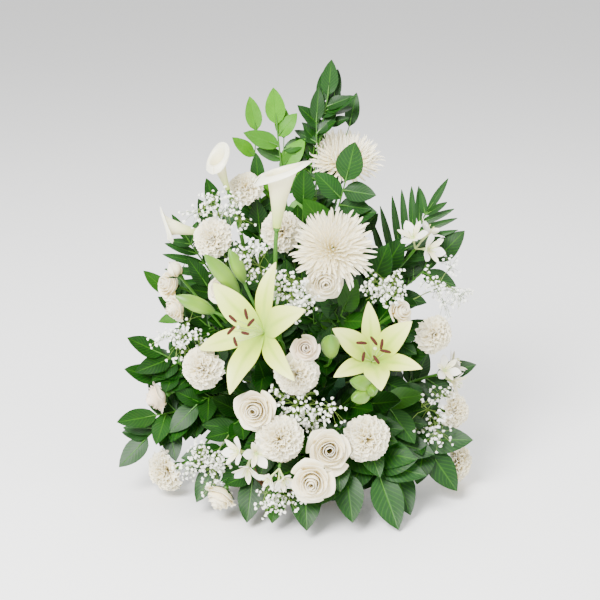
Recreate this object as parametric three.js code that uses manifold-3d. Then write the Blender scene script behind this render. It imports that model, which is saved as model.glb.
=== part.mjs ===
// A one-sided funeral arrangement: white blooms, gypsophila and greenery fanned out of floral foam,
// which stands in a plastic liner in a low round wicker basket.
// Millimetres, +Z up, the blooms face -Y, and the origin is the middle of the basket's base.
import * as THREE from "three";
import { mergeVertices } from "three/addons/utils/BufferGeometryUtils.js";
import { ConvexGeometry } from "three/addons/geometries/ConvexGeometry.js";
import Module from "manifold-3d";

const wasm = await Module();
wasm.setup();
const { Manifold, Mesh: SolidMesh } = wasm;

// Driving sizes
const BASKET = { baseRadius: 95, rimRadius: 122, height: 92, wall: 5, sides: 20, bands: 5, relief: 1.2 };
const LINER = { clearance: 0.5, wall: 1.6, height: 86 };
const FOAM = { halfWidth: 68, halfDepth: 46, bottom: 8, top: 150 };
const CLEAR = 0.35; // air left between two pieces that would touch
const SEAM = 0.12; // where joined stems leave edges shorter than this, their ends are one
const STEM_RADIUS = 2.2;
const BUNDLE_RADIUS = 5;
const BUNDLE_DEPTH = 36;
const SPRIG_RADIUS = 1.2;
const FLORET_RADIUS = 3.6;
const FLORETS_PER_CLOUD = 8;
const LEAF_KEEL = 1.5; // how far the rib stands out under a leaf's flat face
const PETAL_THICKNESS = 1.2;

// The front view that places are given in: how far it looks down, how far off the eye is,
// and the height on the arrangement's axis that it looks at.
const VIEW_TILT = THREE.MathUtils.degToRad(18);
const EYE_DISTANCE = 2400;
const LOOK_HEIGHT = 272;

const { degToRad } = THREE.MathUtils;
const v3 = (x, y, z) => new THREE.Vector3(x, y, z);
const along = (from, direction, distance) => from.clone().addScaledVector(direction, distance);
const FRONT_UP = v3(0, -0.7, 0.7).normalize();

// A place from how far across and up it is seen from the front, and its own depth y.
function seen(across, up, y) {
  const cos = Math.cos(VIEW_TILT);
  const sin = Math.sin(VIEW_TILT);
  const slope = up / EYE_DISTANCE;
  const rise = (up + slope * y * cos - y * sin) / (cos + slope * sin);
  const nearer = -y * cos + rise * sin;
  return v3(across * (1 - nearer / EYE_DISTANCE), y, LOOK_HEIGHT + rise);
}

// The direction that a bloom faces: turn is degrees to the right of the front, lift is degrees up.
function facing(turn, lift) {
  const [a, e] = [degToRad(turn), degToRad(lift)];
  return v3(Math.sin(a) * Math.cos(e), -Math.cos(a) * Math.cos(e), Math.sin(e));
}

// A repeatable number from 0 to 1 for each whole number.
function chance(n) {
  const x = Math.sin(n * 12.9898 + 4.1) * 43758.5453;
  return x - Math.floor(x);
}

// Solids from geometries
function solid(geometry) {
  const bare = geometry.index ? geometry.toNonIndexed() : geometry.clone();
  for (const name of Object.keys(bare.attributes)) if (name !== "position") bare.deleteAttribute(name);
  const merged = mergeVertices(bare, 1e-4);
  return new Manifold(new SolidMesh({
    numProp: 3,
    vertProperties: new Float32Array(merged.attributes.position.array),
    triVerts: new Uint32Array(merged.index.array),
  }));
}

function geometryOf(body) {
  const { vertProperties, numProp, numVert, triVerts } = body.getMesh();
  const points = new Float32Array(numVert * 3);
  for (let i = 0; i < numVert; i++) points.set(vertProperties.subarray(i * numProp, i * numProp + 3), i * 3);
  return new THREE.BufferGeometry()
    .setAttribute("position", new THREE.BufferAttribute(points, 3))
    .setIndex(new THREE.BufferAttribute(triVerts, 1));
}

function shape(points, faces) {
  const coordinates = points.flatMap((p) => [p.x, p.y, p.z]);
  return solid(new THREE.BufferGeometry()
    .setAttribute("position", new THREE.Float32BufferAttribute(coordinates, 3))
    .setIndex(faces.flat()));
}

const joined = (solids) => Manifold.union(solids);
const moved = (body, matrix) => body.transform(matrix.elements.slice());

function turned(profile, sides) {
  const points = profile.map(([r, z]) => new THREE.Vector2(r, z));
  return solid(new THREE.LatheGeometry(points, sides).rotateX(Math.PI / 2));
}

// The largest body of a solid: what a cut leaves loose is dropped.
const whole = (cut) => cut.decompose().sort((a, b) => b.volume() - a.volume())[0];

function touches(body, others) {
  const a = body.boundingBox();
  return others.some((other) => {
    const b = other.boundingBox();
    for (let k = 0; k < 3; k++) if (a.min[k] > b.max[k] || b.min[k] > a.max[k]) return false;
    return !body.intersect(other).isEmpty();
  });
}

// The frame of a bloom: +Z the way it faces, +Y as near to up as that allows, turned by roll degrees.
function frameAt(origin, forward, roll = 0) {
  const upward = Math.abs(forward.z) > 0.95 ? v3(0, 1, 0) : v3(0, 0, 1);
  const across = upward.clone().cross(forward).normalize();
  const upAxis = forward.clone().cross(across);
  return new THREE.Matrix4().makeBasis(across, upAxis, forward).setPosition(origin)
    .multiply(new THREE.Matrix4().makeRotationZ(degToRad(roll)));
}

// Three points round a centre, square to a direction, the first of them on the side `toward`
function ringAt(centre, direction, toward, radius) {
  const u = along(toward, direction, -toward.dot(direction)).normalize();
  const v = direction.clone().cross(u);
  return [0, 1, 2].map((i) => {
    const a = (2 * Math.PI * i) / 3;
    return along(along(centre, u, radius * Math.cos(a)), v, radius * Math.sin(a));
  });
}

const middleOf = (points) => points.reduce((sum, p) => sum.add(p), v3(0, 0, 0)).divideScalar(points.length);
const normalOf = ([a, b, c]) => b.clone().sub(a).cross(c.clone().sub(a)).normalize();

// A closed three-sided body that grows on from any of its faces, as a stem puts out leaves and twigs.
class Growth {
  constructor(ring) {
    this.points = [...ring];
    this.faces = [[0, 2, 1], [0, 1, 2]];
  }

  corners(face) {
    return this.faces[face].map((i) => this.points[i]);
  }

  // Grows a face on to three new points, which become that face, and returns the first of its six new sides.
  extend(face, ring) {
    const from = this.corners(face);
    const run = middleOf(ring).sub(middleOf(from));
    const order = normalOf(ring).dot(run) > 0 ? ring : [ring[1], ring[0], ring[2]];
    const reach = (shift) =>
      from.reduce((sum, p, i) => sum + p.distanceToSquared(order[(i + shift) % 3]), 0);
    const shift = [0, 1, 2].sort((i, j) => reach(i) - reach(j))[0];
    const first = this.points.length;
    this.points.push(...[0, 1, 2].map((i) => order[(i + shift) % 3]));
    const [a, b, c] = this.faces[face];
    const [d, e, f] = [first, first + 1, first + 2];
    this.faces[face] = [d, e, f];
    return this.faces.push([a, b, e], [a, e, d], [b, c, f], [b, f, e], [c, a, d], [c, d, f]) - 6;
  }

  // Splits a face in three that meet at a point, and returns them.
  fork(face, point) {
    const top = this.points.push(point) - 1;
    const [a, b, c] = this.faces[face];
    this.faces[face] = [a, b, top];
    const next = this.faces.push([b, c, top], [c, a, top]) - 2;
    return [face, next, next + 1];
  }

  growOut(face, { rows, tip }) {
    for (const row of rows) this.extend(face, row);
    this.fork(face, tip);
  }

  solid() {
    return shape(this.points, this.faces);
  }
}

// A thing that grows from a base out through its rows to its tip, on its own
function grownAlone(base, plan, radius = 1) {
  const run = middleOf(plan.rows[0]).sub(base).normalize();
  const growth = new Growth(ringAt(base, run, Math.abs(run.z) > 0.9 ? v3(0, 1, 0) : v3(0, 0, 1), radius));
  growth.growOut(1, plan);
  return growth.solid();
}

// A leaf, leaflet or tepal: rows of left edge, right edge and rib. It bends back by curve times its length.
function leafPlan(base, direction, normal, spec, extra = 0) {
  const { length, width, curve = 0.14, widest = 0.42, rows = 2 } = spec;
  const right = direction.clone().cross(normal).normalize();
  const up = right.clone().cross(direction);
  const power = Math.log(0.5) / Math.log(widest);
  const middleAt = (t) => along(along(base, direction, length * t), up, -curve * length * t * t);
  const shares = [[0.6], [0.3, 0.68], [0.2, 0.48, 0.78]][rows - 1];
  return {
    rows: shares.map((t) => {
      const half = (width / 2) * Math.sin(Math.PI * t ** power) ** 0.8 + extra;
      const middle = along(middleAt(t), up, extra);
      const rib = along(middle, up, -LEAF_KEEL - 2 * extra);
      return [along(middle, right, -half), along(middle, right, half), rib];
    }),
    tip: along(middleAt(1), direction, extra),
  };
}

// A three-sided needle, thickest at the share `at` of its length
function needle(from, to, radius, at = 0.6) {
  const axis = to.clone().sub(from).normalize();
  const ring = ringAt(from.clone().lerp(to, at), axis, v3(0.31, 0.52, 0.79), radius);
  return shape([from, ...ring, to], [[0, 2, 1], [0, 3, 2], [0, 1, 3], [4, 1, 2], [4, 2, 3], [4, 3, 1]]);
}

// A bloom's petals in layers, as one closed body: rows of n points from a foot to a top on its axis.
// Each row is [radius, height, wave]: a wave gives a rim its petals, and rows without one are the valleys
// between the layers. Both faces of a layer are split into triangles alike.
function layered(n, foot, rows, top) {
  const points = [v3(0, 0, foot)];
  for (const [radius, height, wave] of rows)
    for (let i = 0; i < n; i++) {
      const turn = (2 * Math.PI * i) / n;
      const [reach, rise] = wave ? wave(i) : [1, 0];
      points.push(v3(radius * reach * Math.cos(turn), radius * reach * Math.sin(turn), height + rise));
    }
  const last = points.push(v3(0, 0, top)) - 1;
  const at = (row, i) => 1 + row * n + (i % n);
  const faces = [];
  for (let i = 0; i < n; i++) {
    faces.push([0, at(0, i + 1), at(0, i)], [last, at(rows.length - 1, i), at(rows.length - 1, i + 1)]);
    for (let row = 0; row < rows.length - 1; row++) {
      const [a, b, c, d] = [at(row, i), at(row, i + 1), at(row + 1, i + 1), at(row + 1, i)];
      if (rows[row + 1][0] > rows[row][0]) faces.push([a, b, c], [a, c, d]);
      else faces.push([a, b, d], [b, c, d]);
    }
  }
  return shape(points, faces);
}

// A rim's petals: `points` of the rim a petal, with a notch between them and a ruffled edge
function lobes(points, phase, notch, ruffle, seed) {
  return (i) => {
    const step = (i + phase) % points;
    const uneven = 1 - 0.1 * chance(seed + i + phase);
    return [step === 0 ? notch : uneven, ruffle * (step === 0 ? -1.2 : step % 2 ? 1 : -0.6)];
  };
}

// Blooms, each in its own frame: the origin is where it meets its calyx, and it faces +Z
const HEADS = {
  carnation: (d, seed) => layered(15, 0, [
    [0.5 * d, 0.15 * d, lobes(3, 0, 0.74, 0.035 * d, seed)],
    [0.17 * d, 0.2 * d],
    [0.43 * d, 0.31 * d, lobes(3, 1, 0.72, 0.035 * d, seed + 5)],
    [0.12 * d, 0.31 * d],
    [0.28 * d, 0.46 * d, lobes(3, 2, 0.68, 0.03 * d, seed + 11)],
  ], 0.38 * d),
  rose: (d, seed) => layered(15, 0, [
    [0.4 * d, 0.14 * d],
    [0.52 * d, 0.32 * d, lobes(3, 0, 0.8, 0.02 * d, seed)],
    [0.31 * d, 0.22 * d],
    [0.38 * d, 0.5 * d, lobes(3, 1, 0.82, 0.02 * d, seed + 5)],
    [0.2 * d, 0.36 * d],
    [0.24 * d, 0.6 * d, lobes(3, 2, 0.84, 0.02 * d, seed + 9)],
    [0.1 * d, 0.5 * d],
  ], 0.6 * d),
  sprayrose: (d, seed) => layered(12, 0, [
    [0.5 * d, 0.3 * d, lobes(3, 0, 0.8, 0.02 * d, seed)],
    [0.26 * d, 0.26 * d],
    [0.36 * d, 0.5 * d, lobes(3, 1, 0.8, 0.02 * d, seed + 5)],
    [0.16 * d, 0.4 * d],
    [0.19 * d, 0.6 * d, lobes(3, 2, 0.84, 0.02 * d, seed + 9)],
  ], 0.5 * d),
  bud: (d) => turned([[0, 0], [0.3 * d, 0], [0.5 * d, 0.5 * d], [0.32 * d, 1.1 * d], [0, 1.45 * d]], 6),
  mum: (d, seed) => {
    const quills = (phase, notch) => lobes(2, phase, notch, 0.012 * d, seed + phase);
    return layered(24, 0, [
      [0.07 * d, 0.01 * d],
      [0.5 * d, -0.02 * d, quills(0, 0.34)],
      [0.12 * d, 0.07 * d],
      [0.48 * d, 0.1 * d, quills(1, 0.34)],
      [0.12 * d, 0.12 * d],
      [0.42 * d, 0.22 * d, quills(0, 0.36)],
      [0.1 * d, 0.17 * d],
      [0.28 * d, 0.3 * d, quills(1, 0.4)],
    ], 0.24 * d);
  },
  lily: (length, seed, open) => {
    const ring = (r, z) => [0, 1, 2, 3, 4, 5].map((i) =>
      v3(r * Math.cos((Math.PI * i) / 3), r * Math.sin((Math.PI * i) / 3), z));
    const heart = new Growth([]);
    const low = ring(0.05 * length, 0.04 * length);
    const high = ring(0.05 * length, 0.14 * length);
    heart.points = [v3(0, 0, 0), ...low, ...high, v3(0, 0, 0.12 * length)];
    heart.faces = [];
    for (let i = 0; i < 6; i++) {
      const j = (i + 1) % 6;
      heart.faces.push([7 + i, 7 + j, 13], [1 + i, 1 + j, 7 + j], [1 + i, 7 + j, 7 + i], [0, 1 + j, 1 + i]);
    }
    for (let i = 0; i < 6; i++) {
      const outer = i % 2;
      const turn = (Math.PI * (i + 0.5)) / 3;
      const lean = degToRad((outer ? 66 : 56) * open);
      const out = v3(Math.cos(turn), Math.sin(turn), 0);
      const direction = out.clone().multiplyScalar(Math.sin(lean)).add(v3(0, 0, Math.cos(lean)));
      const face = v3(0, 0, 1).addScaledVector(out, -0.8);
      const start = v3(0, 0, 0.08 * length);
      const plan = leafPlan(start, direction, face,
        { length, width: length * (outer ? 0.3 : 0.38), curve: 0.22 * open, widest: 0.5, rows: 3 });
      heart.growOut(4 * i + 1, plan);
      const lay = out.clone().multiplyScalar(0.26).add(v3(0, 0, 1)).normalize();
      const end = along(v3(0, 0, 0.1 * length), lay, 0.66 * length);
      const cross = v3(-Math.sin(turn), Math.cos(turn), 0);
      const anther = [along(end, cross, -6), along(end, cross, 6), along(end, out, 2.4)];
      const filament = ringAt(along(end, lay, -3), lay, out, 0.8);
      heart.growOut(4 * i, { rows: [filament, anther], tip: along(end, lay, 2) });
    }
    return heart.solid();
  },
  calla: (length) => callaSpathe(length),
  alstroemeria: (d) => {
    const cluster = new Growth(ringAt(v3(0, 0, 0), v3(0, 0, 1), v3(0, 1, 0), 2.4));
    cluster.extend(1, ringAt(v3(0, 0, 3), v3(0, 0, 1), v3(0, 1, 0), 2.4));
    for (const face of cluster.fork(1, v3(0, 0, 5))) {
      const direction = normalOf(cluster.corners(face)).multiply(v3(0.85, 0.85, 1));
      direction.add(v3(0, 0, 0.5)).normalize();
      const at = (share) => direction.clone().multiplyScalar(share * d);
      const opposite = v3(0, 1, 0).reflect(direction);
      cluster.extend(face, ringAt(at(0.4), direction, v3(0, 1, 0), 0.05 * d));
      const outer = cluster.extend(face, ringAt(at(0.47), direction, v3(0, 1, 0), 0.075 * d));
      cluster.extend(face, ringAt(at(0.5), direction, opposite.negate(), 0.07 * d));
      const inner = cluster.fork(face, at(0.52));
      for (const petal of [outer, outer + 2, outer + 4, ...inner]) {
        const forwards = petal > outer + 5 ? 0.75 : 0.9;
        const out = normalOf(cluster.corners(petal)).addScaledVector(direction, forwards).normalize();
        const width = (petal > outer + 5 || petal === face ? 0.13 : 0.19) * d;
        const plan = leafPlan(middleOf(cluster.corners(petal)), out, direction,
          { length: 0.34 * d, width, curve: 0.2, widest: 0.6, rows: 1 });
        cluster.growOut(petal, plan);
      }
    }
    return cluster.solid();
  },
};

// The calla's spathe: one sheet rolled into a trumpet, with a flared rim drawn out to a tip,
// and the spadix in it
function callaSpathe(length) {
  const sides = 8;
  const rows = [[0.02, 0.05], [0.34, 0.09], [0.64, 0.14], [0.84, 0.19], [0.92, 0.25]];
  const points = [];
  const sheet = (inset) => rows.map(([height, radius], row) => {
    const flare = row / (rows.length - 1);
    return Array.from({ length: sides }, (_, i) => {
      const turn = (2 * Math.PI * i) / sides;
      const toTip = (1 + Math.cos(turn)) / 2;
      const r = length * radius * (1 + 0.35 * flare * toTip ** 4) - inset;
      const rise = length * (height - 0.26 * flare ** 2 * (1 - toTip) + 0.08 * flare * toTip ** 4);
      const z = rise + inset * (row === 0 ? 5 : 0.3);
      return points.push(v3(r * Math.cos(turn), r * Math.sin(turn), z)) - 1;
    });
  });
  const [outside, inside] = [sheet(0), sheet(PETAL_THICKNESS)];
  const foot = points.push(v3(0, 0, 0)) - 1;
  const floor = points.push(v3(0, 0, length * 0.02 + PETAL_THICKNESS * 5)) - 1;
  const faces = [];
  for (let i = 0; i < sides; i++) {
    const j = (i + 1) % sides;
    faces.push([foot, outside[0][j], outside[0][i]], [floor, inside[0][i], inside[0][j]]);
    for (let row = 0; row < rows.length - 1; row++) {
      const [a, b, c, d] = [outside[row], outside[row + 1], inside[row], inside[row + 1]];
      faces.push([a[i], a[j], b[j]], [a[i], b[j], b[i]], [c[i], d[j], c[j]], [c[i], d[i], d[j]]);
    }
    const [rimOut, rimIn] = [outside.at(-1), inside.at(-1)];
    faces.push([rimOut[i], rimOut[j], rimIn[j]], [rimOut[i], rimIn[j], rimIn[i]]);
  }
  return joined([shape(points, faces), needle(v3(0, 0, 2), v3(0, 0, length * 0.62), length * 0.035, 0.75)]);
}

// How far behind its seen middle each kind of bloom meets its calyx, and its calyx's radius and height,
// all as shares of its size
const KINDS = {
  carnation: { depth: 0.3, calyx: [0.1, 0.3] },
  rose: { depth: 0.36, calyx: [0.1, 0.12] },
  sprayrose: { depth: 0.36, calyx: [0.12, 0.14] },
  bud: { depth: 0.6, calyx: [0.28, 0.2] },
  mum: { depth: 0.14, calyx: [0.06, 0.05] },
  lily: { depth: 0, calyx: [0.035, 0.06] },
  calla: { depth: 0, calyx: [0.045, 0.05] },
  alstroemeria: { depth: 0.4, calyx: [0.035, 0.05] },
};

// Blooms: kind, [across, up, y], size, [turn, lift], the bunch of greenery that carries it, roll, open
const BLOOMS = {
  calla_main: ["calla", [-35, 108, -128], 112, [20, 78], "centre_left", -30],
  calla_left: ["calla", [-108, 165, -50], 66, [-60, 70], "back_left", 110],
  calla_far_left: ["calla", [-146, 100, -62], 70, [-82, 14], "upper_left", 90],
  mum_main: ["mum", [50, 80, -128], 128, [4, 24], "centre_right"],
  mum_high: ["mum", [68, 222, 18], 122, [10, 62], "top"],
  carnation_1: ["carnation", [-138, 94, -98], 62, [-25, 20], "upper_left"],
  carnation_2: ["carnation", [-84, 174, -22], 55, [-10, 45], "back_left"],
  carnation_3: ["carnation", [-29, 106, -62], 64, [-5, 25], "centre_left"],
  carnation_4: ["carnation", [-155, -108, -165], 66, [-30, 0], "left"],
  carnation_5: ["carnation", [-5, -114, -218], 64, [0, 10], "front"],
  carnation_6: ["carnation", [104, -212, -212], 72, [12, 8], "front_right"],
  carnation_7: ["carnation", [210, -54, -78], 63, [35, 5], "upper_right"],
  carnation_8: ["carnation", [242, -168, -80], 58, [58, 4], "right"],
  carnation_9: ["carnation", [-214, -261, -112], 70, [-62, -12], "left"],
  carnation_10: ["carnation", [246, -248, -72], 70, [84, -12], "right"],
  carnation_open: ["carnation", [-32, -212, -242], 70, [-5, 12], "front"],
  rose_1: ["rose", [-68, -166, -222], 63, [-10, 12], "front_left"],
  rose_2: ["rose", [44, -226, -228], 66, [2, 20], "front_right"],
  rose_3: ["rose", [18, -274, -266], 62, [-5, 4], "front"],
  rose_4: ["rose", [38, 26, -136], 58, [6, -2], "centre_right"],
  rose_5: ["rose", [-218, -148, -92], 50, [-74, -16], "left"],
  rose_6: ["rose", [-122, -300, -200], 52, [-42, -42], "front_left"],
  spray_rose_1: ["sprayrose", [8, -72, -208], 42, [5, 18], "front"],
  spray_rose_2: ["sprayrose", [153, -17, -122], 42, [40, 30], "upper_right"],
  spray_rose_3: ["sprayrose", [-200, 24, -66], 46, [-50, 22], "upper_left"],
  spray_rose_4: ["sprayrose", [-190, -14, -88], 42, [-56, -8], "upper_left"],
  spray_rose_5: ["sprayrose", [-122, 18, -104], 42, [-30, 24], "upper_left"],
  rose_bud: ["bud", [-188, 46, -98], 20, [-40, 50], "upper_left"],
  lily_1: ["lily", [-50, -50, -176], 94, [-36, 24], "centre_left", -3, 0.9],
  lily_2: ["lily", [108, -94, -150], 84, [2, 40], "front_right", 5, 0.62],
  alstroemeria_1: ["alstroemeria", [186, 92, -32], 66, [40, 48], "back_right"],
  alstroemeria_2: ["alstroemeria", [228, -108, -52], 60, [60, 20], "right"],
  alstroemeria_3: ["alstroemeria", [-34, -272, -250], 46, [-12, -50], "front"],
  alstroemeria_4: ["alstroemeria", [-80, -238, -232], 62, [-16, 0], "front_left"],
};

// Where each bunch of stems goes into the foam, and the way that it leaves it
const BUNCHES = {
  back_left: { at: v3(-42, 26, FOAM.top), out: v3(-0.35, 0.05, 1) },
  top: { at: v3(0, 26, FOAM.top), out: v3(0.03, 0.07, 1) },
  back_right: { at: v3(42, 26, FOAM.top), out: v3(0.35, 0.05, 1) },
  upper_left: { at: v3(-48, -20, FOAM.top), out: v3(-0.5, -0.4, 0.8) },
  centre_left: { at: v3(-18, -24, FOAM.top), out: v3(-0.15, -0.5, 0.9) },
  centre_right: { at: v3(18, -24, FOAM.top), out: v3(0.15, -0.5, 0.9) },
  upper_right: { at: v3(48, -20, FOAM.top), out: v3(0.5, -0.4, 0.8) },
  left: { at: v3(-FOAM.halfWidth, -15, 118), out: v3(-0.9, -0.4, 0.15) },
  right: { at: v3(FOAM.halfWidth, -15, 117), out: v3(0.9, -0.4, 0.15) },
  front_left: { at: v3(-42, -FOAM.halfDepth, 116), out: v3(-0.4, -0.9, 0.1) },
  front: { at: v3(0, -FOAM.halfDepth, 118), out: v3(0, -1, 0.1) },
  front_right: { at: v3(42, -FOAM.halfDepth, 116), out: v3(0.4, -0.9, 0.1) },
  back: { at: v3(0, FOAM.halfDepth, 104), out: v3(0, 1, 0.3) },
};
for (const bunch of Object.values(BUNCHES)) bunch.out.normalize();

// Leafy stems: the bunch, the tip of the last leaf as [across, up, y], leaves, their length and width,
// the share of the stem where leaves start, and how far they stand off it in degrees
const SPRAYS = [
  ["top", [51, 360, 22], 9, 52, 25, 0.5, 55],
  ["top", [-40, 318, 12], 6, 54, 29, 0.52, 50],
  ["top", [82, 236, -64], 6, 62, 40, 0.5, 60],
  ["top", [6, 196, -16], 4, 56, 34, 0.5, 58],
  ["back_left", [-66, 220, 4], 6, 52, 21, 0.5, 48],
  ["back_left", [-140, 182, -6], 5, 52, 22, 0.5, 48],
  ["back_right", [246, 104, 0], 5, 64, 34, 0.5, 50],
  ["upper_left", [-234, 44, -30], 5, 52, 22, 0.55, 50],
  ["upper_right", [132, 84, -66], 4, 76, 40, 0.5, 60],
  ["upper_right", [150, 10, -92], 4, 66, 34, 0.45, 58],
  ["left", [-258, -56, -70], 6, 60, 30, 0.5, 52],
  ["left", [-264, -108, -95], 6, 62, 32, 0.45, 50],
  ["left", [-274, -182, -118], 6, 62, 32, 0.45, 50],
  ["left", [-272, -250, -120], 5, 60, 32, 0.5, 50],
  ["front_left", [-156, -306, -190], 5, 62, 32, 0.4, 50],
  ["front_left", [-80, -333, -226], 5, 66, 36, 0.4, 50],
  ["front", [-42, -334, -240], 4, 68, 36, 0.45, 50],
  ["front", [10, -345, -262], 5, 74, 44, 0.45, 50],
  ["front_right", [79, -333, -250], 5, 74, 42, 0.45, 50],
  ["front_right", [148, -344, -232], 6, 84, 46, 0.4, 50],
  ["right", [166, -322, -196], 5, 78, 42, 0.4, 50],
  ["right", [236, -286, -140], 6, 74, 42, 0.4, 50],
  ["right", [264, -96, -24], 5, 62, 32, 0.45, 50],
  ["centre_left", [-60, 20, -96], 5, 62, 34, 0.4, 58],
  ["centre_left", [-104, -70, -124], 5, 62, 34, 0.4, 58],
  ["centre_right", [84, 30, -96], 5, 62, 36, 0.4, 58],
  ["centre_right", [60, -50, -130], 5, 62, 36, 0.4, 58],
  ["front", [-24, -150, -150], 4, 60, 36, 0.25, 60],
  ["front", [38, -122, -140], 4, 62, 36, 0.2, 60],
  ["front_left", [-100, -128, -128], 4, 62, 36, 0.25, 60],
  ["front_left", [-104, -206, -172], 4, 62, 36, 0.3, 60],
  ["front_right", [62, -160, -158], 4, 62, 36, 0.25, 60],
  ["front_right", [150, -150, -128], 4, 66, 38, 0.25, 60],
  ["right", [196, -62, -64], 4, 66, 36, 0.4, 58],
  ["right", [172, -214, -150], 4, 66, 38, 0.3, 58],
  ["back", [-96, 90, 88], 5, 70, 40, 0.3, 55],
  ["back", [96, 80, 88], 5, 70, 40, 0.3, 55],
  ["back", [0, 150, 74], 6, 70, 40, 0.3, 55],
  ["back", [-104, -190, 148], 4, 70, 40, 0.3, 50],
  ["back", [104, -190, 148], 4, 70, 40, 0.3, 50],
];

// Palm fronds: the bunch, the tip, leaflets on each side, their length and width
const FRONDS = [
  ["back_right", [222, 182, 6], 9, 84, 11],
  ["back_left", [-192, 128, -12], 7, 72, 13],
];

// Lily buds on the lily stems: the bunch, the foot, the tip, and the thickness
const LILY_BUDS = [
  ["centre_left", [-93, 12, -134], [-143, 68, -150], 24],
  ["centre_left", [-129, -18, -142], [-187, 6, -152], 22],
  ["centre_left", [-84, 26, -132], [-106, 76, -138], 20],
  ["centre_right", [46, -84, -172], [46, -54, -206], 26],
  ["front_right", [106, -128, -184], [76, -121, -214], 22],
  ["front_right", [104, -138, -186], [78, -150, -212], 22],
  ["front_right", [102, -130, -176], [112, -138, -210], 19],
];

// Gypsophila: where the stem goes into the foam, its way out of it, and its cloud of florets
// as [across, up, y], half width and half height
const GYPSOPHILA = {
  gypsophila_1: [v3(-58, 4, FOAM.top), v3(-0.3, -0.2, 1), [-122, 134, -72], 46, 26],
  gypsophila_2: [v3(-30, 6, FOAM.top), v3(-0.1, -0.2, 1), [-62, 56, -112], 30, 34],
  gypsophila_3: [v3(2, -2, FOAM.top), v3(0, -0.1, 1), [-6, 10, -146], 32, 22],
  gypsophila_4: [v3(-FOAM.halfWidth, 12, 134), v3(-1, -0.2, 0.3), [-178, -52, -118], 32, 30],
  gypsophila_5: [v3(-56, -FOAM.halfDepth, 136), v3(-0.3, -1, 0.2), [-138, -250, -168], 40, 38],
  gypsophila_6: [v3(-22, -FOAM.halfDepth, 136), v3(-0.1, -1, 0.1), [-34, -292, -232], 30, 16],
  gypsophila_7: [v3(22, -FOAM.halfDepth, 138), v3(0.1, -1, 0.25), [8, -158, -196], 50, 36],
  gypsophila_8: [v3(58, 4, FOAM.top), v3(0.3, -0.2, 1), [212, 20, -40], 34, 34],
  gypsophila_9: [v3(FOAM.halfWidth, 12, 134), v3(1, -0.2, 0.3), [195, -168, -95], 42, 48],
  gypsophila_10: [v3(32, 6, FOAM.top), v3(0.1, -0.2, 1), [128, 16, -112], 22, 24],
};

// Ways to bend a stem, a leaf or a twig that would cross something: the first that is clear is taken
const STEPS = [0, 12, -12, 24, -24, 36, -36];
const STEM_BENDS = STEPS.flatMap((aside) => STEPS.map((upward) => [aside, upward]))
  .sort((a, b) => Math.hypot(...a) - Math.hypot(...b));
const LEAF_BENDS = [
  [0, 0, 1], [14, 0, 1], [-14, 0, 1], [0, 0.4, 1], [0, -0.4, 1], [24, 0.3, 0.9], [-24, 0.3, 0.9],
  [10, 0.7, 0.85], [-14, 0.7, 0.8], [0, 0.9, 0.7], [20, -0.5, 0.75], [-20, -0.5, 0.75],
  [0, 0, 0.6], [30, 0.8, 0.6], [0, 0, 0.45],
];

// Where a bloom meets its calyx
function footOf([kind, place, size, [turn, lift]]) {
  return along(seen(...place), facing(turn, lift), -KINDS[kind].depth * size);
}

function headOf(row, seed) {
  const [kind, , size, [turn, lift], , roll = 0, open = 1] = row;
  return moved(HEADS[kind](size, seed, open), frameAt(footOf(row), facing(turn, lift), roll));
}

// The room that a bloom takes, a little larger than its own outline
function roomRound(body) {
  const { vertProperties, numProp, numVert } = body.getMesh();
  const points = [];
  for (let i = 0; i < numVert * numProp; i += numProp) points.push(v3(...vertProperties.subarray(i, i + 3)));
  const centre = middleOf(points);
  for (const p of points) p.addScaledVector(p.clone().sub(centre).normalize(), 2 * CLEAR);
  return solid(new ConvexGeometry(points));
}

// A stem of a bunch: its line, where it puts out leaves, and what it ends in
function bloomShoot(bunchName, row, seed) {
  const [kind, , size, [turn, lift]] = row;
  const forward = facing(turn, lift);
  const [share, height] = KINDS[kind].calyx;
  const top = along(footOf(row), forward, -CLEAR);
  const low = along(top, forward, -size * height);
  return {
    bunchName, seed, end: low, arrive: forward, faceOut: FRONT_UP,
    leafAt: [],
    finish: (extra) => ({ rows: [ringAt(top, forward, FRONT_UP, size * share + extra)], flat: true }),
  };
}

function budShoot([bunchName, foot, tip, thickness], seed) {
  const [from, to] = [seen(...foot), seen(...tip)];
  const forward = to.clone().sub(from).normalize();
  return {
    bunchName, seed, end: from, arrive: forward, faceOut: FRONT_UP, leafAt: [],
    finish: (extra) => ({
      rows: [[0.12, 0.6], [0.45, 1], [0.8, 0.72]].map(([t, r]) =>
        ringAt(from.clone().lerp(to, t), forward, FRONT_UP, (r * thickness) / 2 + extra)),
      tip: along(to, forward, extra),
    }),
  };
}

function sprayShoot([bunchName, tip, count, length, width, start, spread], seed, [aside, upward]) {
  const end = seen(...tip).add(v3(aside * 0.3, Math.abs(upward) * 0.6, 0));
  const { at } = BUNCHES[bunchName];
  const faceOut = bunchName === "back" ? v3(0, 0.8, 0.6) : FRONT_UP;
  const arrive = end.clone().sub(at).normalize();
  if (end.z < at.z) arrive.add(v3(0, 0, -0.5)).normalize();
  const stalk = along(end, arrive, -length);
  return {
    bunchName, seed, end: stalk, arrive, faceOut, leafSize: [length, width], spread,
    leafAt: Array.from({ length: count - 1 }, (_, i) => start + ((1 - start) * (i + 0.3)) / (count - 0.7)),
    finish: (extra) => leafPlan(stalk, arrive, faceOut, { length, width, rows: 3, curve: 0.03 }, extra),
  };
}

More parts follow.
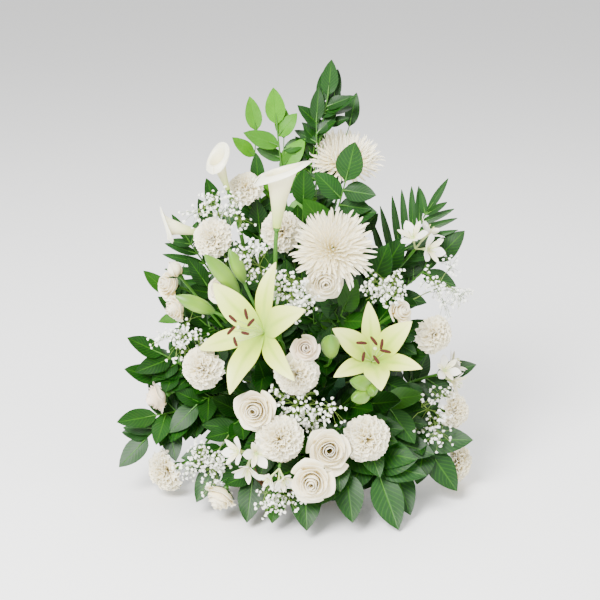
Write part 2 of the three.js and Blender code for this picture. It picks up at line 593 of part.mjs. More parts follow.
function frondShoot([bunchName, tip, pairs, length, width], seed, [, upward]) {
  const end = seen(...tip).add(v3(0, Math.abs(upward) * 0.6, 0));
  const arrive = end.clone().sub(BUNCHES[bunchName].at).normalize();
  const stalk = along(end, arrive, -0.7 * length);
  const faceOut = v3(0, -0.9, 0.4).normalize();
  return {
    bunchName, seed, end: stalk, arrive, faceOut, paired: true, leafSize: [length, width], spread: 58,
    leafAt: Array.from({ length: pairs }, (_, i) => 0.5 + (0.48 * i) / (pairs - 1)),
    finish: (extra) => leafPlan(stalk, arrive, faceOut, { length: 0.7 * length, width, curve: 0.03 }, extra),
  };
}

// The line of a stem, pushed aside by a bend. Each stem has its own place in its bunch.
function stemLine({ bunchName, end, arrive, seed }, [aside, upward]) {
  const { at, out } = BUNCHES[bunchName];
  const reach = at.distanceTo(end);
  const push = v3(aside, 0, upward);
  const aim = end.clone().sub(at);
  const side = aim.addScaledVector(out, -aim.dot(out)).normalize();
  const place = along(along(at, out, 1 + 4 * chance(seed)), side, 2);
  return new THREE.CubicBezierCurve3(place, along(at, out, 4 + reach * 0.3).add(push),
    along(end, arrive, -reach * 0.3).add(push), end);
}

// A stem with its leaves
function grow(shoot, extra = 0) {
  const { line, faceOut, leafAt, leaves = [] } = shoot;
  const ring = (t) => ringAt(line.getPoint(t), line.getTangent(t), faceOut, STEM_RADIUS + extra);
  const growth = new Growth(ring(0));
  let tip = 1;
  for (const t of [0.25, ...leafAt]) {
    growth.extend(tip, ring(t));
    if (t === 0.25) continue;
    const faces = growth.fork(tip, along(line.getPoint(t), line.getTangent(t), STEM_RADIUS + extra));
    const turnedTo = (direction) => (a, b) =>
      normalOf(growth.corners(b)).dot(direction) - normalOf(growth.corners(a)).dot(direction);
    tip = faces.sort(turnedTo(faceOut)).pop();
    for (const leaf of leaves.filter((one) => one.t === t))
      growth.growOut(faces.sort(turnedTo(leaf.side)).shift(), leaf.plan);
  }
  growth.extend(tip, ring(leafAt.length ? 1 : 0.65));
  if (!leafAt.length) growth.extend(tip, ring(1));
  const { rows, tip: point, flat } = shoot.finish(extra);
  if (flat) growth.extend(tip, rows[0]);
  else growth.growOut(tip, { rows, tip: point });
  return growth.solid();
}

// Tries a leaf at the place t on a stem, and keeps the first bend of it that is clear of everything
function tryLeaf(shoot, t, sign, index, obstacles) {
  const { line, faceOut, seed, spread, paired, leafAt } = shoot;
  const tangent = line.getTangent(t);
  const side = tangent.clone().cross(faceOut).normalize().multiplyScalar(sign);
  const number = seed + 7 * index;
  const share = (t - leafAt[0]) / (1 - leafAt[0]);
  const size = paired ? Math.sin(Math.PI * (0.25 + 0.62 * share)) : 0.84 + 0.2 * chance(number);
  const [length, width] = shoot.leafSize;
  const uneven = paired ? -30 * share : 12 * (chance(number + 1) - 0.5);
  for (const [turn, lift, shrink] of LEAF_BENDS) {
    const angle = degToRad(spread + uneven + turn);
    const direction = tangent.clone().multiplyScalar(Math.cos(angle)).addScaledVector(side, Math.sin(angle))
      .addScaledVector(faceOut, lift + (paired ? 0 : 0.4 * (chance(number + 2) - 0.3))).normalize();
    const normal = faceOut.clone().addScaledVector(side, 0.5 * (chance(number + 3) - 0.5)).normalize();
    const spec = { length: length * size * shrink, width: width * (paired ? 1 : size * Math.sqrt(shrink)) };
    const base = line.getPoint(t);
    const fat = leafPlan(base, direction, normal, spec, CLEAR);
    if (touches(grownAlone(base, fat, STEM_RADIUS), obstacles.others)) continue;
    if (touches(grownAlone(along(base, direction, 7), fat), obstacles.own)) continue;
    const plan = leafPlan(base, direction, normal, spec);
    if (touches(grow({ ...shoot, leaves: [...shoot.leaves, { t, side, plan }] }), obstacles.apart)) continue;
    return { t, side, plan, body: grownAlone(along(base, direction, 1), plan) };
  }
  return null;
}

// A gypsophila twig with its floret, from a place to its end
function twigPlan(from, to, extra = 0) {
  const axis = to.clone().sub(from).normalize();
  const reach = from.distanceTo(to);
  const toward = Math.abs(axis.z) > 0.9 ? v3(0, 1, 0) : v3(0, 0, 1);
  return {
    rows: [
      ringAt(along(from, axis, reach - 5), axis, toward, SPRIG_RADIUS * 0.6 + extra),
      ringAt(along(from, axis, reach - 1.6), axis, toward, FLORET_RADIUS + extra),
    ],
    tip: along(to, axis, extra),
  };
}

// A cloud's line in from the foam, pushed aside by a bend
function cloudLine(at, out, place, [aside, upward]) {
  const centre = seen(...place);
  const reach = at.distanceTo(centre);
  const push = v3(aside, 0, upward);
  const way = out.clone().normalize();
  return new THREE.CubicBezierCurve3(along(at, way, -24), along(at, way, reach * 0.25),
    along(at, way, reach * 0.45).add(push), centre);
}

const CLOUD_NODES = FLORETS_PER_CLOUD / 2;
const cloudShare = (k) => (k < 0 ? [0.2, 0.5][k + 2] : 0.68 + (0.3 * k) / (CLOUD_NODES - 1));

function growCloud(line, twigs, extra = 0) {
  const toward = (k) => v3(Math.cos(2.1 * k), -0.4, Math.sin(2.1 * k)).normalize();
  const ring = (k) => {
    const t = cloudShare(k);
    return ringAt(line.getPoint(t), line.getTangent(t), toward(Math.max(k, 0)), SPRIG_RADIUS + extra);
  };
  const growth = new Growth(ringAt(line.getPoint(0), line.getTangent(0), toward(0), SPRIG_RADIUS + extra));
  let tip = 1;
  const open = [];
  for (let k = -2; k < CLOUD_NODES; k++) {
    growth.extend(tip, ring(k));
    if (k < 0) continue;
    const way = line.getTangent(cloudShare(k));
    const faces = growth.fork(tip, along(line.getPoint(cloudShare(k)), way, SPRIG_RADIUS + extra));
    const back = (face) => normalOf(growth.corners(face)).dot(toward(k));
    tip = faces.sort((a, b) => back(b) - back(a)).pop();
    faces.forEach((face, slot) =>
      open.push({ slot, k, at: middleOf(growth.corners(face)), way: normalOf(growth.corners(face)) }));
    for (const twig of twigs.filter((one) => one.k === k))
      growth.growOut(faces[twig.slot], twigPlan(twig.at, twig.end, extra));
  }
  return { body: growth.solid(), open };
}

// A cloud with each floret on the first clear twig that reaches it
function cloudOf(line, place, halfWidth, halfHeight, seed, obstacles) {
  const centre = seen(...place);
  const ends = Array.from({ length: 3 * FLORETS_PER_CLOUD }, (_, i) => {
    const turn = i * 2.39996 + seed;
    const ring = Math.sqrt(((i % FLORETS_PER_CLOUD) + 0.7) / FLORETS_PER_CLOUD);
    const depth = (chance(seed + i) - 0.65) * halfHeight * 1.2;
    const off = v3(Math.cos(turn) * ring * halfWidth, depth, Math.sin(turn) * ring * halfHeight);
    return along(centre, off, 1);
  });
  const { body: axis, open } = growCloud(line, []);
  const twigs = [];
  const taken = [axis];
  for (const { slot, k, at, way } of open) {
    const facingIt = (end) => end.clone().sub(at).normalize().dot(way);
    const choices = ends.filter((end) => facingIt(end) > 0.15 && end.distanceTo(at) > 9);
    const end = choices.find((one) => {
      const base = along(at, one.clone().sub(at).normalize(), 3);
      const body = grownAlone(base, twigPlan(at, one, CLEAR), SPRIG_RADIUS * 0.6);
      if (touches(body, obstacles) || touches(body, taken)) return false;
      return !touches(growCloud(line, [...twigs, { slot, k, at, end: one }]).body, obstacles);
    });
    if (!end) continue;
    ends.splice(ends.indexOf(end), 1);
    taken.push(grownAlone(at, twigPlan(at, end), SPRIG_RADIUS * 0.6));
    twigs.push({ slot, k, at, end });
  }
  return growCloud(line, twigs).body;
}

// Basket, liner and foam
function wicker() {
  const { baseRadius, rimRadius, height, wall, sides, bands, relief } = BASKET;
  const profile = [[0, 0], [baseRadius, 0]];
  for (let i = 1; i < bands; i++) {
    const share = i / bands;
    profile.push([baseRadius + (rimRadius - baseRadius) * share, height * share]);
  }
  profile.push([rimRadius + 2, height - 4], [rimRadius, height], [rimRadius - wall, height],
    [baseRadius - wall, wall], [0, wall]);
  const points = profile.map(([r, z]) => new THREE.Vector2(r, z));
  const geometry = new THREE.LatheGeometry(points, sides).rotateX(Math.PI / 2);
  const position = geometry.attributes.position;
  for (let i = 0; i < position.count; i++) {
    const row = i % profile.length;
    const column = Math.floor(i / profile.length) % sides;
    if (row < 2 || row > bands) continue;
    const swell = 1 + ((row + column) % 2 ? relief : -relief) / rimRadius;
    position.setXYZ(i, position.getX(i) * swell, position.getY(i) * swell, position.getZ(i));
  }
  return solid(geometry);
}

function linerBowl() {
  const { baseRadius, rimRadius, height, wall, sides } = BASKET;
  const slope = (rimRadius - baseRadius) / height;
  const floor = wall + CLEAR;
  const { wall: w, height: top } = LINER;
  const outer = (z) => baseRadius - wall + slope * (z - wall) - LINER.clearance - 1;
  return turned([[0, floor], [outer(floor), floor], [outer(top), top], [outer(top) - w, top],
    [outer(floor) - w, floor + w], [0, floor + w]], sides);
}

function foamBlock() {
  const height = FOAM.top - FOAM.bottom;
  return solid(new THREE.BoxGeometry(2 * FOAM.halfWidth, 2 * FOAM.halfDepth, height)
    .translate(0, 0, FOAM.bottom + height / 2));
}

// The cut ends of a bunch's stems, tied as one in the foam
function bundle({ at, out }, extra = 0) {
  const ring = Array.from({ length: 5 }, (_, i) => {
    const a = (2 * Math.PI * i) / 5;
    return new THREE.Vector2((BUNDLE_RADIUS + extra) * Math.cos(a), (BUNDLE_RADIUS + extra) * Math.sin(a));
  });
  const line = new THREE.LineCurve3(along(at, out, -BUNDLE_DEPTH - extra), along(at, out, 7));
  const options = { extrudePath: line, steps: 1, bevelEnabled: false };
  return solid(new THREE.ExtrudeGeometry(new THREE.Shape(ring), options));
}

// The holder and the blooms come first
const basket = wicker();
const liner = linerBowl();
const heads = {};
const rooms = [];
Object.entries(BLOOMS).forEach(([name, row], i) => {
  let head = headOf(row, i * 31);
  for (const other of rooms) if (touches(head, [other.head])) head = whole(head.subtract(other.room));
  heads[name] = head;
  rooms.push({ head, room: roomRound(head) });
});

// Then the stems, each bent clear of the blooms and of the other bunches' stems
const shoots = [];
function addShoot(bentBy, carries) {
  const bent = (bend) => {
    const shoot = bentBy(bend);
    return { ...shoot, line: stemLine(shoot, bend) };
  };
  const { bunchName } = bentBy([0, 0]);
  const blocked = [basket,
    ...Object.keys(heads).filter((name) => name !== carries).map((name) => heads[name]),
    ...Object.keys(BUNCHES).filter((name) => name !== bunchName).map((name) => bundle(BUNCHES[name])),
    ...shoots.filter((other) => other.bunchName !== bunchName).map((other) => other.stem)];
  const clear = STEM_BENDS.find((bend) => !touches(grow(bent(bend), CLEAR), blocked));
  const shoot = bent(clear ?? [0, 0]);
  shoots.push({ ...shoot, stem: grow(shoot) });
}
Object.entries(BLOOMS).forEach(([name, row], i) => addShoot(() => bloomShoot(row[4], row, i * 13), name));
LILY_BUDS.forEach((row, i) => addShoot(() => budShoot(row, 500 + i * 17)));
SPRAYS.forEach((row, i) => addShoot((bend) => sprayShoot(row, 700 + i * 29, bend)));
FRONDS.forEach((row, i) => addShoot((bend) => frondShoot(row, 1700 + i * 23, bend)));

// Then the gypsophila between them
const bundles = Object.values(BUNCHES).map((bunch) => bundle(bunch));
const sprigs = {};
const sprigLines = [];
Object.entries(GYPSOPHILA).forEach(([name, [at, out, place, halfWidth, halfHeight]], i) => {
  const blocked = [basket, ...Object.values(heads), ...bundles, ...shoots.map((shoot) => shoot.stem),
    ...Object.values(sprigs)];
  const clear = (bend) => !touches(growCloud(cloudLine(at, out, place, bend), [], CLEAR).body, blocked);
  const line = cloudLine(at, out, place, STEM_BENDS.find(clear) ?? [0, 0]);
  sprigLines.push(line);
  sprigs[name] = cloudOf(line, place, halfWidth, halfHeight, 11 * i, blocked);
});

// Then the leaves, wherever one is clear
const taken = [
  ...[basket, ...Object.values(heads), ...Object.values(sprigs)].map((body) => ({ body })),
  ...Object.keys(BUNCHES).map((bunchName, i) => ({ body: bundles[i], bunchName })),
  ...shoots.map((shoot) => ({ body: shoot.stem, bunchName: shoot.bunchName, shoot })),
];
for (const shoot of shoots) {
  shoot.leaves = [];
  shoot.leafAt.forEach((t, i) => {
    const bodies = (test) => taken.filter(test).map((one) => one.body);
    const obstacles = {
      own: bodies((one) => one.shoot === shoot),
      others: [foamBlock(), ...bodies((one) => one.shoot !== shoot)],
      apart: bodies((one) => one.bunchName !== shoot.bunchName),
    };
    for (const sign of shoot.paired ? [1, -1] : [i % 2 ? 1 : -1]) {
      const leaf = tryLeaf(shoot, t, sign, 2 * i + (sign > 0 ? 1 : 0), obstacles);
      if (!leaf) continue;
      shoot.leaves.push(leaf);
      taken.push({ body: leaf.body, bunchName: shoot.bunchName, shoot });
    }
  });
}

const greens = {};
for (const [name, bunch] of Object.entries(BUNCHES)) {
  const stems = shoots.filter((shoot) => shoot.bunchName === name).map((shoot) => grow(shoot));
  greens[name] = whole(joined([bundle(bunch), ...stems]).simplify(SEAM));
}

let foam = foamBlock();
for (const bunch of Object.values(BUNCHES)) foam = foam.subtract(bundle(bunch, CLEAR));
for (const line of sprigLines) foam = foam.subtract(growCloud(line, [], CLEAR).body);
for (const shoot of shoots)
  if (touches(shoot.stem, [foam])) foam = foam.subtract(grow({ ...shoot, leaves: [] }, CLEAR));

// The pieces as named meshes
const arrangement = new THREE.Group();

function add(name, body, colour, roughness) {
  const geometry = geometryOf(body);
  geometry.computeVertexNormals();
  const material = new THREE.MeshStandardMaterial({ color: colour, roughness, metalness: 0 });
  const mesh = new THREE.Mesh(geometry, material);
  mesh.name = name;
  arrangement.add(mesh);
}

const PETAL_COLOURS = { lily: 0xe9efb0, calla: 0xf4f0dc, bud: 0xe6ecae };
add("basket", basket, 0x8a6238, 0.7);
add("liner", liner, 0x2f4a2c, 0.5);
add("foam", whole(foam), 0x2e6a3c, 0.95);
for (const [name, head] of Object.entries(heads)) {
  const [kind] = BLOOMS[name];
  add(name, head, PETAL_COLOURS[kind] ?? 0xf7f3e6, 0.6);
}
for (const [name, sprig] of Object.entries(sprigs)) add(name, sprig, 0xf4f4ec, 0.7);
for (const [name, green] of Object.entries(greens)) add(`greenery_${name}`, green, 0x2c6b1e, 0.35);

export default arrangement;
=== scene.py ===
"""The looks of a one-sided funeral arrangement: white blooms, gypsophila and leaves in a wicker basket.

Places are in millimetres, as seen from the front, and the meshes are made in metres.
"""

import math

import bpy
import numpy as np
from mathutils import Matrix, Vector, kdtree
from mathutils.bvhtree import BVHTree


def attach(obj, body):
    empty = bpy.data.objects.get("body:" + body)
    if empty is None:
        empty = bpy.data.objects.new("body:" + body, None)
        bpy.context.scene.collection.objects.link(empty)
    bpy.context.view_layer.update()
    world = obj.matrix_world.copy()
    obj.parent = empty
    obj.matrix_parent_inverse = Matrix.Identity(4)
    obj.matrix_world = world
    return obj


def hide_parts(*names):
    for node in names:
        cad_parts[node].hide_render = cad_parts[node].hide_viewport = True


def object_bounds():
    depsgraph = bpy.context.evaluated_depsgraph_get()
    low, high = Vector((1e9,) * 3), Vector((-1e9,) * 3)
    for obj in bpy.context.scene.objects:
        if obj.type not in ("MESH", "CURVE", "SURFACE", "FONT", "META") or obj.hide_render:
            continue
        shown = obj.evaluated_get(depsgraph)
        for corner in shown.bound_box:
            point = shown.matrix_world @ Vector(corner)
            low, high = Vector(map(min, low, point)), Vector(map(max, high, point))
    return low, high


bl_info = {
    "name": "Funeral flower arrangement",
    "version": (1, 0, 0),
    "blender": (4, 5, 0),
    "location": "View3D > Sidebar > Flowers",
    "description": "Models the blooms, the greenery and the basket of a one-sided arrangement",
    "category": "Object",
}

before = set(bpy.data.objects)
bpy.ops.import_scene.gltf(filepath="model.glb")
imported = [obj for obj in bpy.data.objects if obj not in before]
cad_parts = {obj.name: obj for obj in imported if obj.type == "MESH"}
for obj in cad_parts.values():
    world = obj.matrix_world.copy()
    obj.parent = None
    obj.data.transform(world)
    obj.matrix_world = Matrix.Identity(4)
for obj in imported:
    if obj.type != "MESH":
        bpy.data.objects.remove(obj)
CAD_BOX = [list(corner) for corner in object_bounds()]
MM = 0.001

# Sizes of the holder and the stems, in millimetres
BASKET_BASE, BASKET_RIM, BASKET_HEIGHT, BASKET_WALL = 95, 122, 92, 5
LINER_TOP, LINER_WALL = 86, 1.6
FOAM_WIDE, FOAM_DEEP, FOAM_TOP = 68, 46, 150
STEM_RADIUS = 2.2
SPRIG_RADIUS = 1.2
LEAF_KEEL = 1.5

# The front view that places are given in
VIEW_TILT = math.radians(18)
EYE_DISTANCE = 2400
LOOK_HEIGHT = 272
FRONT_UP = Vector((0, -0.7, 0.7)).normalized()
BACK_UP = Vector((0, 0.8, 0.6))
FROND_OUT = Vector((0, -0.9, 0.4)).normalized()

# Blooms: kind, (across, up, y), size, (turn, lift), the bunch of greenery that carries it, roll, open
BLOOMS = {
    "calla_main": ("calla", (-35, 108, -128), 112, (20, 78), "centre_left", -30),
    "calla_left": ("calla", (-108, 165, -50), 66, (-60, 70), "back_left", 110),
    "calla_far_left": ("calla", (-146, 100, -62), 70, (-82, 14), "upper_left", 90),
    "mum_main": ("mum", (50, 80, -128), 128, (4, 24), "centre_right"),
    "mum_high": ("mum", (68, 222, 18), 122, (10, 62), "top"),
    "carnation_1": ("carnation", (-138, 94, -98), 62, (-25, 20), "upper_left"),
    "carnation_2": ("carnation", (-84, 174, -22), 55, (-10, 45), "back_left"),
    "carnation_3": ("carnation", (-29, 106, -62), 64, (-5, 25), "centre_left"),
    "carnation_4": ("carnation", (-155, -108, -165), 66, (-30, 0), "left"),
    "carnation_5": ("carnation", (-5, -114, -218), 64, (0, 10), "front"),
    "carnation_6": ("carnation", (104, -212, -212), 72, (12, 8), "front_right"),
    "carnation_7": ("carnation", (210, -54, -78), 63, (35, 5), "upper_right"),
    "carnation_8": ("carnation", (242, -168, -80), 58, (58, 4), "right"),
    "carnation_9": ("carnation", (-214, -261, -112), 70, (-62, -12), "left"),
    "carnation_10": ("carnation", (246, -248, -72), 70, (84, -12), "right"),
    "carnation_open": ("carnation", (-32, -212, -242), 70, (-5, 12), "front"),
    "rose_1": ("rose", (-68, -166, -222), 63, (-10, 12), "front_left"),
    "rose_2": ("rose", (44, -226, -228), 66, (2, 20), "front_right"),
    "rose_3": ("rose", (18, -274, -266), 62, (-5, 4), "front"),
    "rose_4": ("rose", (38, 26, -136), 58, (6, -2), "centre_right"),
    "rose_5": ("rose", (-218, -148, -92), 50, (-74, -16), "left"),
    "rose_6": ("rose", (-122, -300, -200), 52, (-42, -42), "front_left"),
    "spray_rose_1": ("sprayrose", (8, -72, -208), 42, (5, 18), "front"),
    "spray_rose_2": ("sprayrose", (153, -17, -122), 42, (40, 30), "upper_right"),
    "spray_rose_3": ("sprayrose", (-200, 24, -66), 46, (-50, 22), "upper_left"),
    "spray_rose_4": ("sprayrose", (-190, -14, -88), 42, (-56, -8), "upper_left"),
    "spray_rose_5": ("sprayrose", (-122, 18, -104), 42, (-30, 24), "upper_left"),
    "rose_bud": ("bud", (-188, 46, -98), 20, (-40, 50), "upper_left"),
    "lily_1": ("lily", (-50, -50, -176), 94, (-36, 24), "centre_left", -3, 0.9),
    "lily_2": ("lily", (108, -94, -150), 84, (2, 40), "front_right", 5, 0.62),
    "alstroemeria_1": ("alstroemeria", (186, 92, -32), 66, (40, 48), "back_right"),
    "alstroemeria_2": ("alstroemeria", (228, -108, -52), 60, (60, 20), "right"),
    "alstroemeria_3": ("alstroemeria", (-34, -272, -250), 46, (-12, -50), "front"),
    "alstroemeria_4": ("alstroemeria", (-80, -238, -232), 62, (-16, 0), "front_left"),
}

# How far behind its seen middle each kind meets its calyx, and its calyx's radius and height, as shares
KINDS = {
    "carnation": (0.3, 0.1, 0.3),
    "rose": (0.36, 0.1, 0.12),
    "sprayrose": (0.36, 0.12, 0.14),
    "bud": (0.6, 0.28, 0.2),
    "mum": (0.14, 0.06, 0.05),
    "lily": (0, 0.035, 0.06),
    "calla": (0, 0.045, 0.05),
    "alstroemeria": (0.4, 0.035, 0.05),
}

# Where each bunch of stems leaves the foam, and the way it goes
BUNCHES = {
    "back_left": ((-42, 26, FOAM_TOP), (-0.35, 0.05, 1)),
    "top": ((0, 26, FOAM_TOP), (0.03, 0.07, 1)),
    "back_right": ((42, 26, FOAM_TOP), (0.35, 0.05, 1)),
    "upper_left": ((-48, -20, FOAM_TOP), (-0.5, -0.4, 0.8)),
    "centre_left": ((-18, -24, FOAM_TOP), (-0.15, -0.5, 0.9)),
    "centre_right": ((18, -24, FOAM_TOP), (0.15, -0.5, 0.9)),
    "upper_right": ((48, -20, FOAM_TOP), (0.5, -0.4, 0.8)),
    "left": ((-FOAM_WIDE, -15, 118), (-0.9, -0.4, 0.15)),
    "right": ((FOAM_WIDE, -15, 117), (0.9, -0.4, 0.15)),
    "front_left": ((-42, -FOAM_DEEP, 116), (-0.4, -0.9, 0.1)),
    "front": ((0, -FOAM_DEEP, 118), (0, -1, 0.1)),
    "front_right": ((42, -FOAM_DEEP, 116), (0.4, -0.9, 0.1)),
    "back": ((0, FOAM_DEEP, 104), (0, 1, 0.3)),
}
BUNCHES = {name: (Vector(at), Vector(out).normalized()) for name, (at, out) in BUNCHES.items()}

# Leafy stems: bunch, tip as (across, up, y), leaves, length and width, where leaves start, spread in degrees
SPRAYS = [
    ("top", (51, 360, 22), 9, 52, 25, 0.5, 55),
    ("top", (-40, 318, 12), 6, 54, 29, 0.52, 50),
    ("top", (82, 236, -64), 6, 62, 40, 0.5, 60),
    ("top", (6, 196, -16), 4, 56, 34, 0.5, 58),
    ("back_left", (-66, 220, 4), 6, 52, 21, 0.5, 48),
    ("back_left", (-140, 182, -6), 5, 52, 22, 0.5, 48),
    ("back_right", (246, 104, 0), 5, 64, 34, 0.5, 50),
    ("upper_left", (-234, 44, -30), 5, 52, 22, 0.55, 50),
    ("upper_right", (132, 84, -66), 4, 76, 40, 0.5, 60),
    ("upper_right", (150, 10, -92), 4, 66, 34, 0.45, 58),
    ("left", (-258, -56, -70), 6, 60, 30, 0.5, 52),
    ("left", (-264, -108, -95), 6, 62, 32, 0.45, 50),
    ("left", (-274, -182, -118), 6, 62, 32, 0.45, 50),
    ("left", (-272, -250, -120), 5, 60, 32, 0.5, 50),
    ("front_left", (-156, -306, -190), 5, 62, 32, 0.4, 50),
    ("front_left", (-80, -333, -226), 5, 66, 36, 0.4, 50),
    ("front", (-42, -334, -240), 4, 68, 36, 0.45, 50),
    ("front", (10, -345, -262), 5, 74, 44, 0.45, 50),
    ("front_right", (79, -333, -250), 5, 74, 42, 0.45, 50),
    ("front_right", (148, -344, -232), 6, 84, 46, 0.4, 50),
    ("right", (166, -322, -196), 5, 78, 42, 0.4, 50),
    ("right", (236, -286, -140), 6, 74, 42, 0.4, 50),
    ("right", (264, -96, -24), 5, 62, 32, 0.45, 50),
    ("centre_left", (-60, 20, -96), 5, 62, 34, 0.4, 58),
    ("centre_left", (-104, -70, -124), 5, 62, 34, 0.4, 58),
    ("centre_right", (84, 30, -96), 5, 62, 36, 0.4, 58),
    ("centre_right", (60, -50, -130), 5, 62, 36, 0.4, 58),
    ("front", (-24, -150, -150), 4, 60, 36, 0.25, 60),
    ("front", (38, -122, -140), 4, 62, 36, 0.2, 60),
    ("front_left", (-100, -128, -128), 4, 62, 36, 0.25, 60),
    ("front_left", (-104, -206, -172), 4, 62, 36, 0.3, 60),
    ("front_right", (62, -160, -158), 4, 62, 36, 0.25, 60),
    ("front_right", (150, -150, -128), 4, 66, 38, 0.25, 60),
    ("right", (196, -62, -64), 4, 66, 36, 0.4, 58),
    ("right", (172, -214, -150), 4, 66, 38, 0.3, 58),
    ("back", (-96, 90, 88), 5, 70, 40, 0.3, 55),
    ("back", (96, 80, 88), 5, 70, 40, 0.3, 55),
    ("back", (0, 150, 74), 6, 70, 40, 0.3, 55),
    ("back", (-104, -190, 148), 4, 70, 40, 0.3, 50),
    ("back", (104, -190, 148), 4, 70, 40, 0.3, 50),
]

LIME_TIPS = [(-40, 318, 12)]  # the sprays of young leaves, by their tips

# Small sprays that only the looks have, which fill the gaps between the blooms: bunch, tip, length and width
FILLERS = [
    ("top", (24, 318, 14), 50, 21), ("top", (60, 344, 24), 46, 18), ("top", (92, 306, 22), 50, 21),
    ("top", (66, 326, 16), 50, 20), ("top", (40, 344, 22), 48, 19), ("top", (-64, 300, 8), 50, 24),
    ("top", (-24, 292, 10), 50, 24), ("top", (0, 140, -10), 52, 32),
    ("top", (44, 168, -34), 52, 34), ("top", (96, 160, -24), 54, 32), ("back_left", (-72, 148, -18), 50, 28),
    ("back_left", (-104, 128, -30), 50, 26), ("back_left", (-150, 150, -24), 46, 22),
    ("back_right", (118, 128, -8), 60, 36), ("back_right", (152, 92, -26), 64, 38),
    ("upper_left", (-112, 48, -70), 52, 28), ("upper_left", (-165, 62, -50), 50, 26),
    ("upper_left", (-176, -8, -64), 50, 26), ("upper_left", (-210, 6, -44), 50, 24),
    ("centre_left", (-52, 78, -70), 52, 30), ("centre_left", (-20, 52, -84), 54, 32),
    ("centre_left", (-92, 4, -90), 54, 32), ("centre_left", (-34, -92, -120), 52, 32),
    ("centre_right", (20, 60, -84), 54, 32), ("centre_right", (66, 20, -84), 56, 34),
    ("centre_right", (104, 4, -92), 56, 34), ("centre_right", (70, -96, -128), 54, 34),
    ("upper_right", (128, 62, -52), 62, 36), ("upper_right", (178, 40, -50), 56, 32),
    ("upper_right", (190, -30, -60), 56, 32), ("left", (-150, -64, -96), 54, 30), ("left", (-190, -60, -70), 54, 30),
    ("left", (-196, -196, -118), 58, 32), ("right", (214, -110, -60), 54, 30), ("right", (208, -236, -118), 60, 34),
    ("front_left", (-130, -168, -136), 54, 32), ("front_left", (-70, -100, -130), 52, 32),
    ("front_left", (-140, -232, -170), 56, 32), ("front", (0, -178, -178), 52, 32), ("front", (-60, -262, -214), 54, 32),
    ("front_right", (104, -160, -150), 56, 34), ("front_right", (120, -262, -214), 60, 34),
    ("front_right", (60, -284, -240), 58, 34),
]

# Palm fronds: bunch, tip, leaflets on each side, their length and width
FRONDS = [
    ("back_right", (222, 182, 6), 9, 84, 11),
    ("back_left", (-192, 128, -12), 7, 72, 13),
]

# Lily buds: bunch, foot, tip and thickness
LILY_BUDS = [
    ("centre_left", (-93, 12, -134), (-143, 68, -150), 24),
    ("centre_left", (-129, -18, -142), (-187, 6, -152), 22),
    ("centre_left", (-84, 26, -132), (-106, 76, -138), 20),
    ("centre_right", (46, -84, -172), (46, -54, -206), 26),
    ("front_right", (106, -128, -184), (76, -121, -214), 22),
    ("front_right", (104, -138, -186), (78, -150, -212), 22),
    ("front_right", (102, -130, -176), (112, -138, -210), 19),
]

# Gypsophila: where the stem goes into the foam, its way out of it, its cloud, half width and half height
GYPSOPHILA = {
    "gypsophila_1": ((-58, 4, FOAM_TOP), (-0.3, -0.2, 1), (-122, 134, -72), 46, 26),
    "gypsophila_2": ((-30, 6, FOAM_TOP), (-0.1, -0.2, 1), (-62, 56, -112), 30, 34),
    "gypsophila_3": ((2, -2, FOAM_TOP), (0, -0.1, 1), (-6, 10, -146), 32, 22),
    "gypsophila_4": ((-FOAM_WIDE, 12, 134), (-1, -0.2, 0.3), (-178, -52, -118), 32, 30),
    "gypsophila_5": ((-56, -FOAM_DEEP, 136), (-0.3, -1, 0.2), (-138, -250, -168), 40, 38),
    "gypsophila_6": ((-22, -FOAM_DEEP, 136), (-0.1, -1, 0.1), (-34, -292, -232), 30, 16),
    "gypsophila_7": ((22, -FOAM_DEEP, 138), (0.1, -1, 0.25), (8, -158, -196), 50, 36),
    "gypsophila_8": ((58, 4, FOAM_TOP), (0.3, -0.2, 1), (212, 20, -40), 34, 34),
    "gypsophila_9": ((FOAM_WIDE, 12, 134), (1, -0.2, 0.3), (195, -168, -95), 42, 48),
    "gypsophila_10": ((32, 6, FOAM_TOP), (0.1, -0.2, 1), (128, 16, -112), 22, 24),
}

# Ways that a stem or a leaf may be bent: the solids show which one each took
STEPS = [0, 12, -12, 24, -24, 36, -36]
STEM_BENDS = sorted(((a, b) for a in STEPS for b in STEPS), key=lambda bend: math.hypot(*bend))
LEAF_BENDS = [
    (0, 0, 1), (14, 0, 1), (-14, 0, 1), (0, 0.4, 1), (0, -0.4, 1), (24, 0.3, 0.9), (-24, 0.3, 0.9),
    (10, 0.7, 0.85), (-14, 0.7, 0.8), (0, 0.9, 0.7), (20, -0.5, 0.75), (-20, -0.5, 0.75),
    (0, 0, 0.6), (30, 0.8, 0.6), (0, 0, 0.45),
]


def seen(across, up, y):
    """A place from how far across and up it is seen from the front, and its depth y."""
    cos, sin = math.cos(VIEW_TILT), math.sin(VIEW_TILT)
    slope = up / EYE_DISTANCE
    rise = (up + slope * y * cos - y * sin) / (cos + slope * sin)
    nearer = -y * cos + rise * sin
    return Vector((across * (1 - nearer / EYE_DISTANCE), y, LOOK_HEIGHT + rise))


def facing(turn, lift):
    """The way a bloom faces: degrees to the right of the front, and degrees up."""
    a, e = math.radians(turn), math.radians(lift)
    return Vector((math.sin(a) * math.cos(e), -math.cos(a) * math.cos(e), math.sin(e)))


def chance(n):
    """A repeatable number from 0 to 1 for each number n."""
    x = math.sin(n * 12.9898 + 4.1) * 43758.5453
    return x - math.floor(x)


def frame_at(origin, forward, roll=0.0):
    """The frame of a bloom: +Z the way it faces, +Y as near to up as that allows."""
    upward = Vector((0, 1, 0)) if abs(forward.z) > 0.95 else Vector((0, 0, 1))
    across = upward.cross(forward).normalized()
    basis = Matrix((across, forward.cross(across), forward)).transposed().to_4x4()
    return Matrix.Translation(origin) @ basis @ Matrix.Rotation(math.radians(roll), 4, "Z")


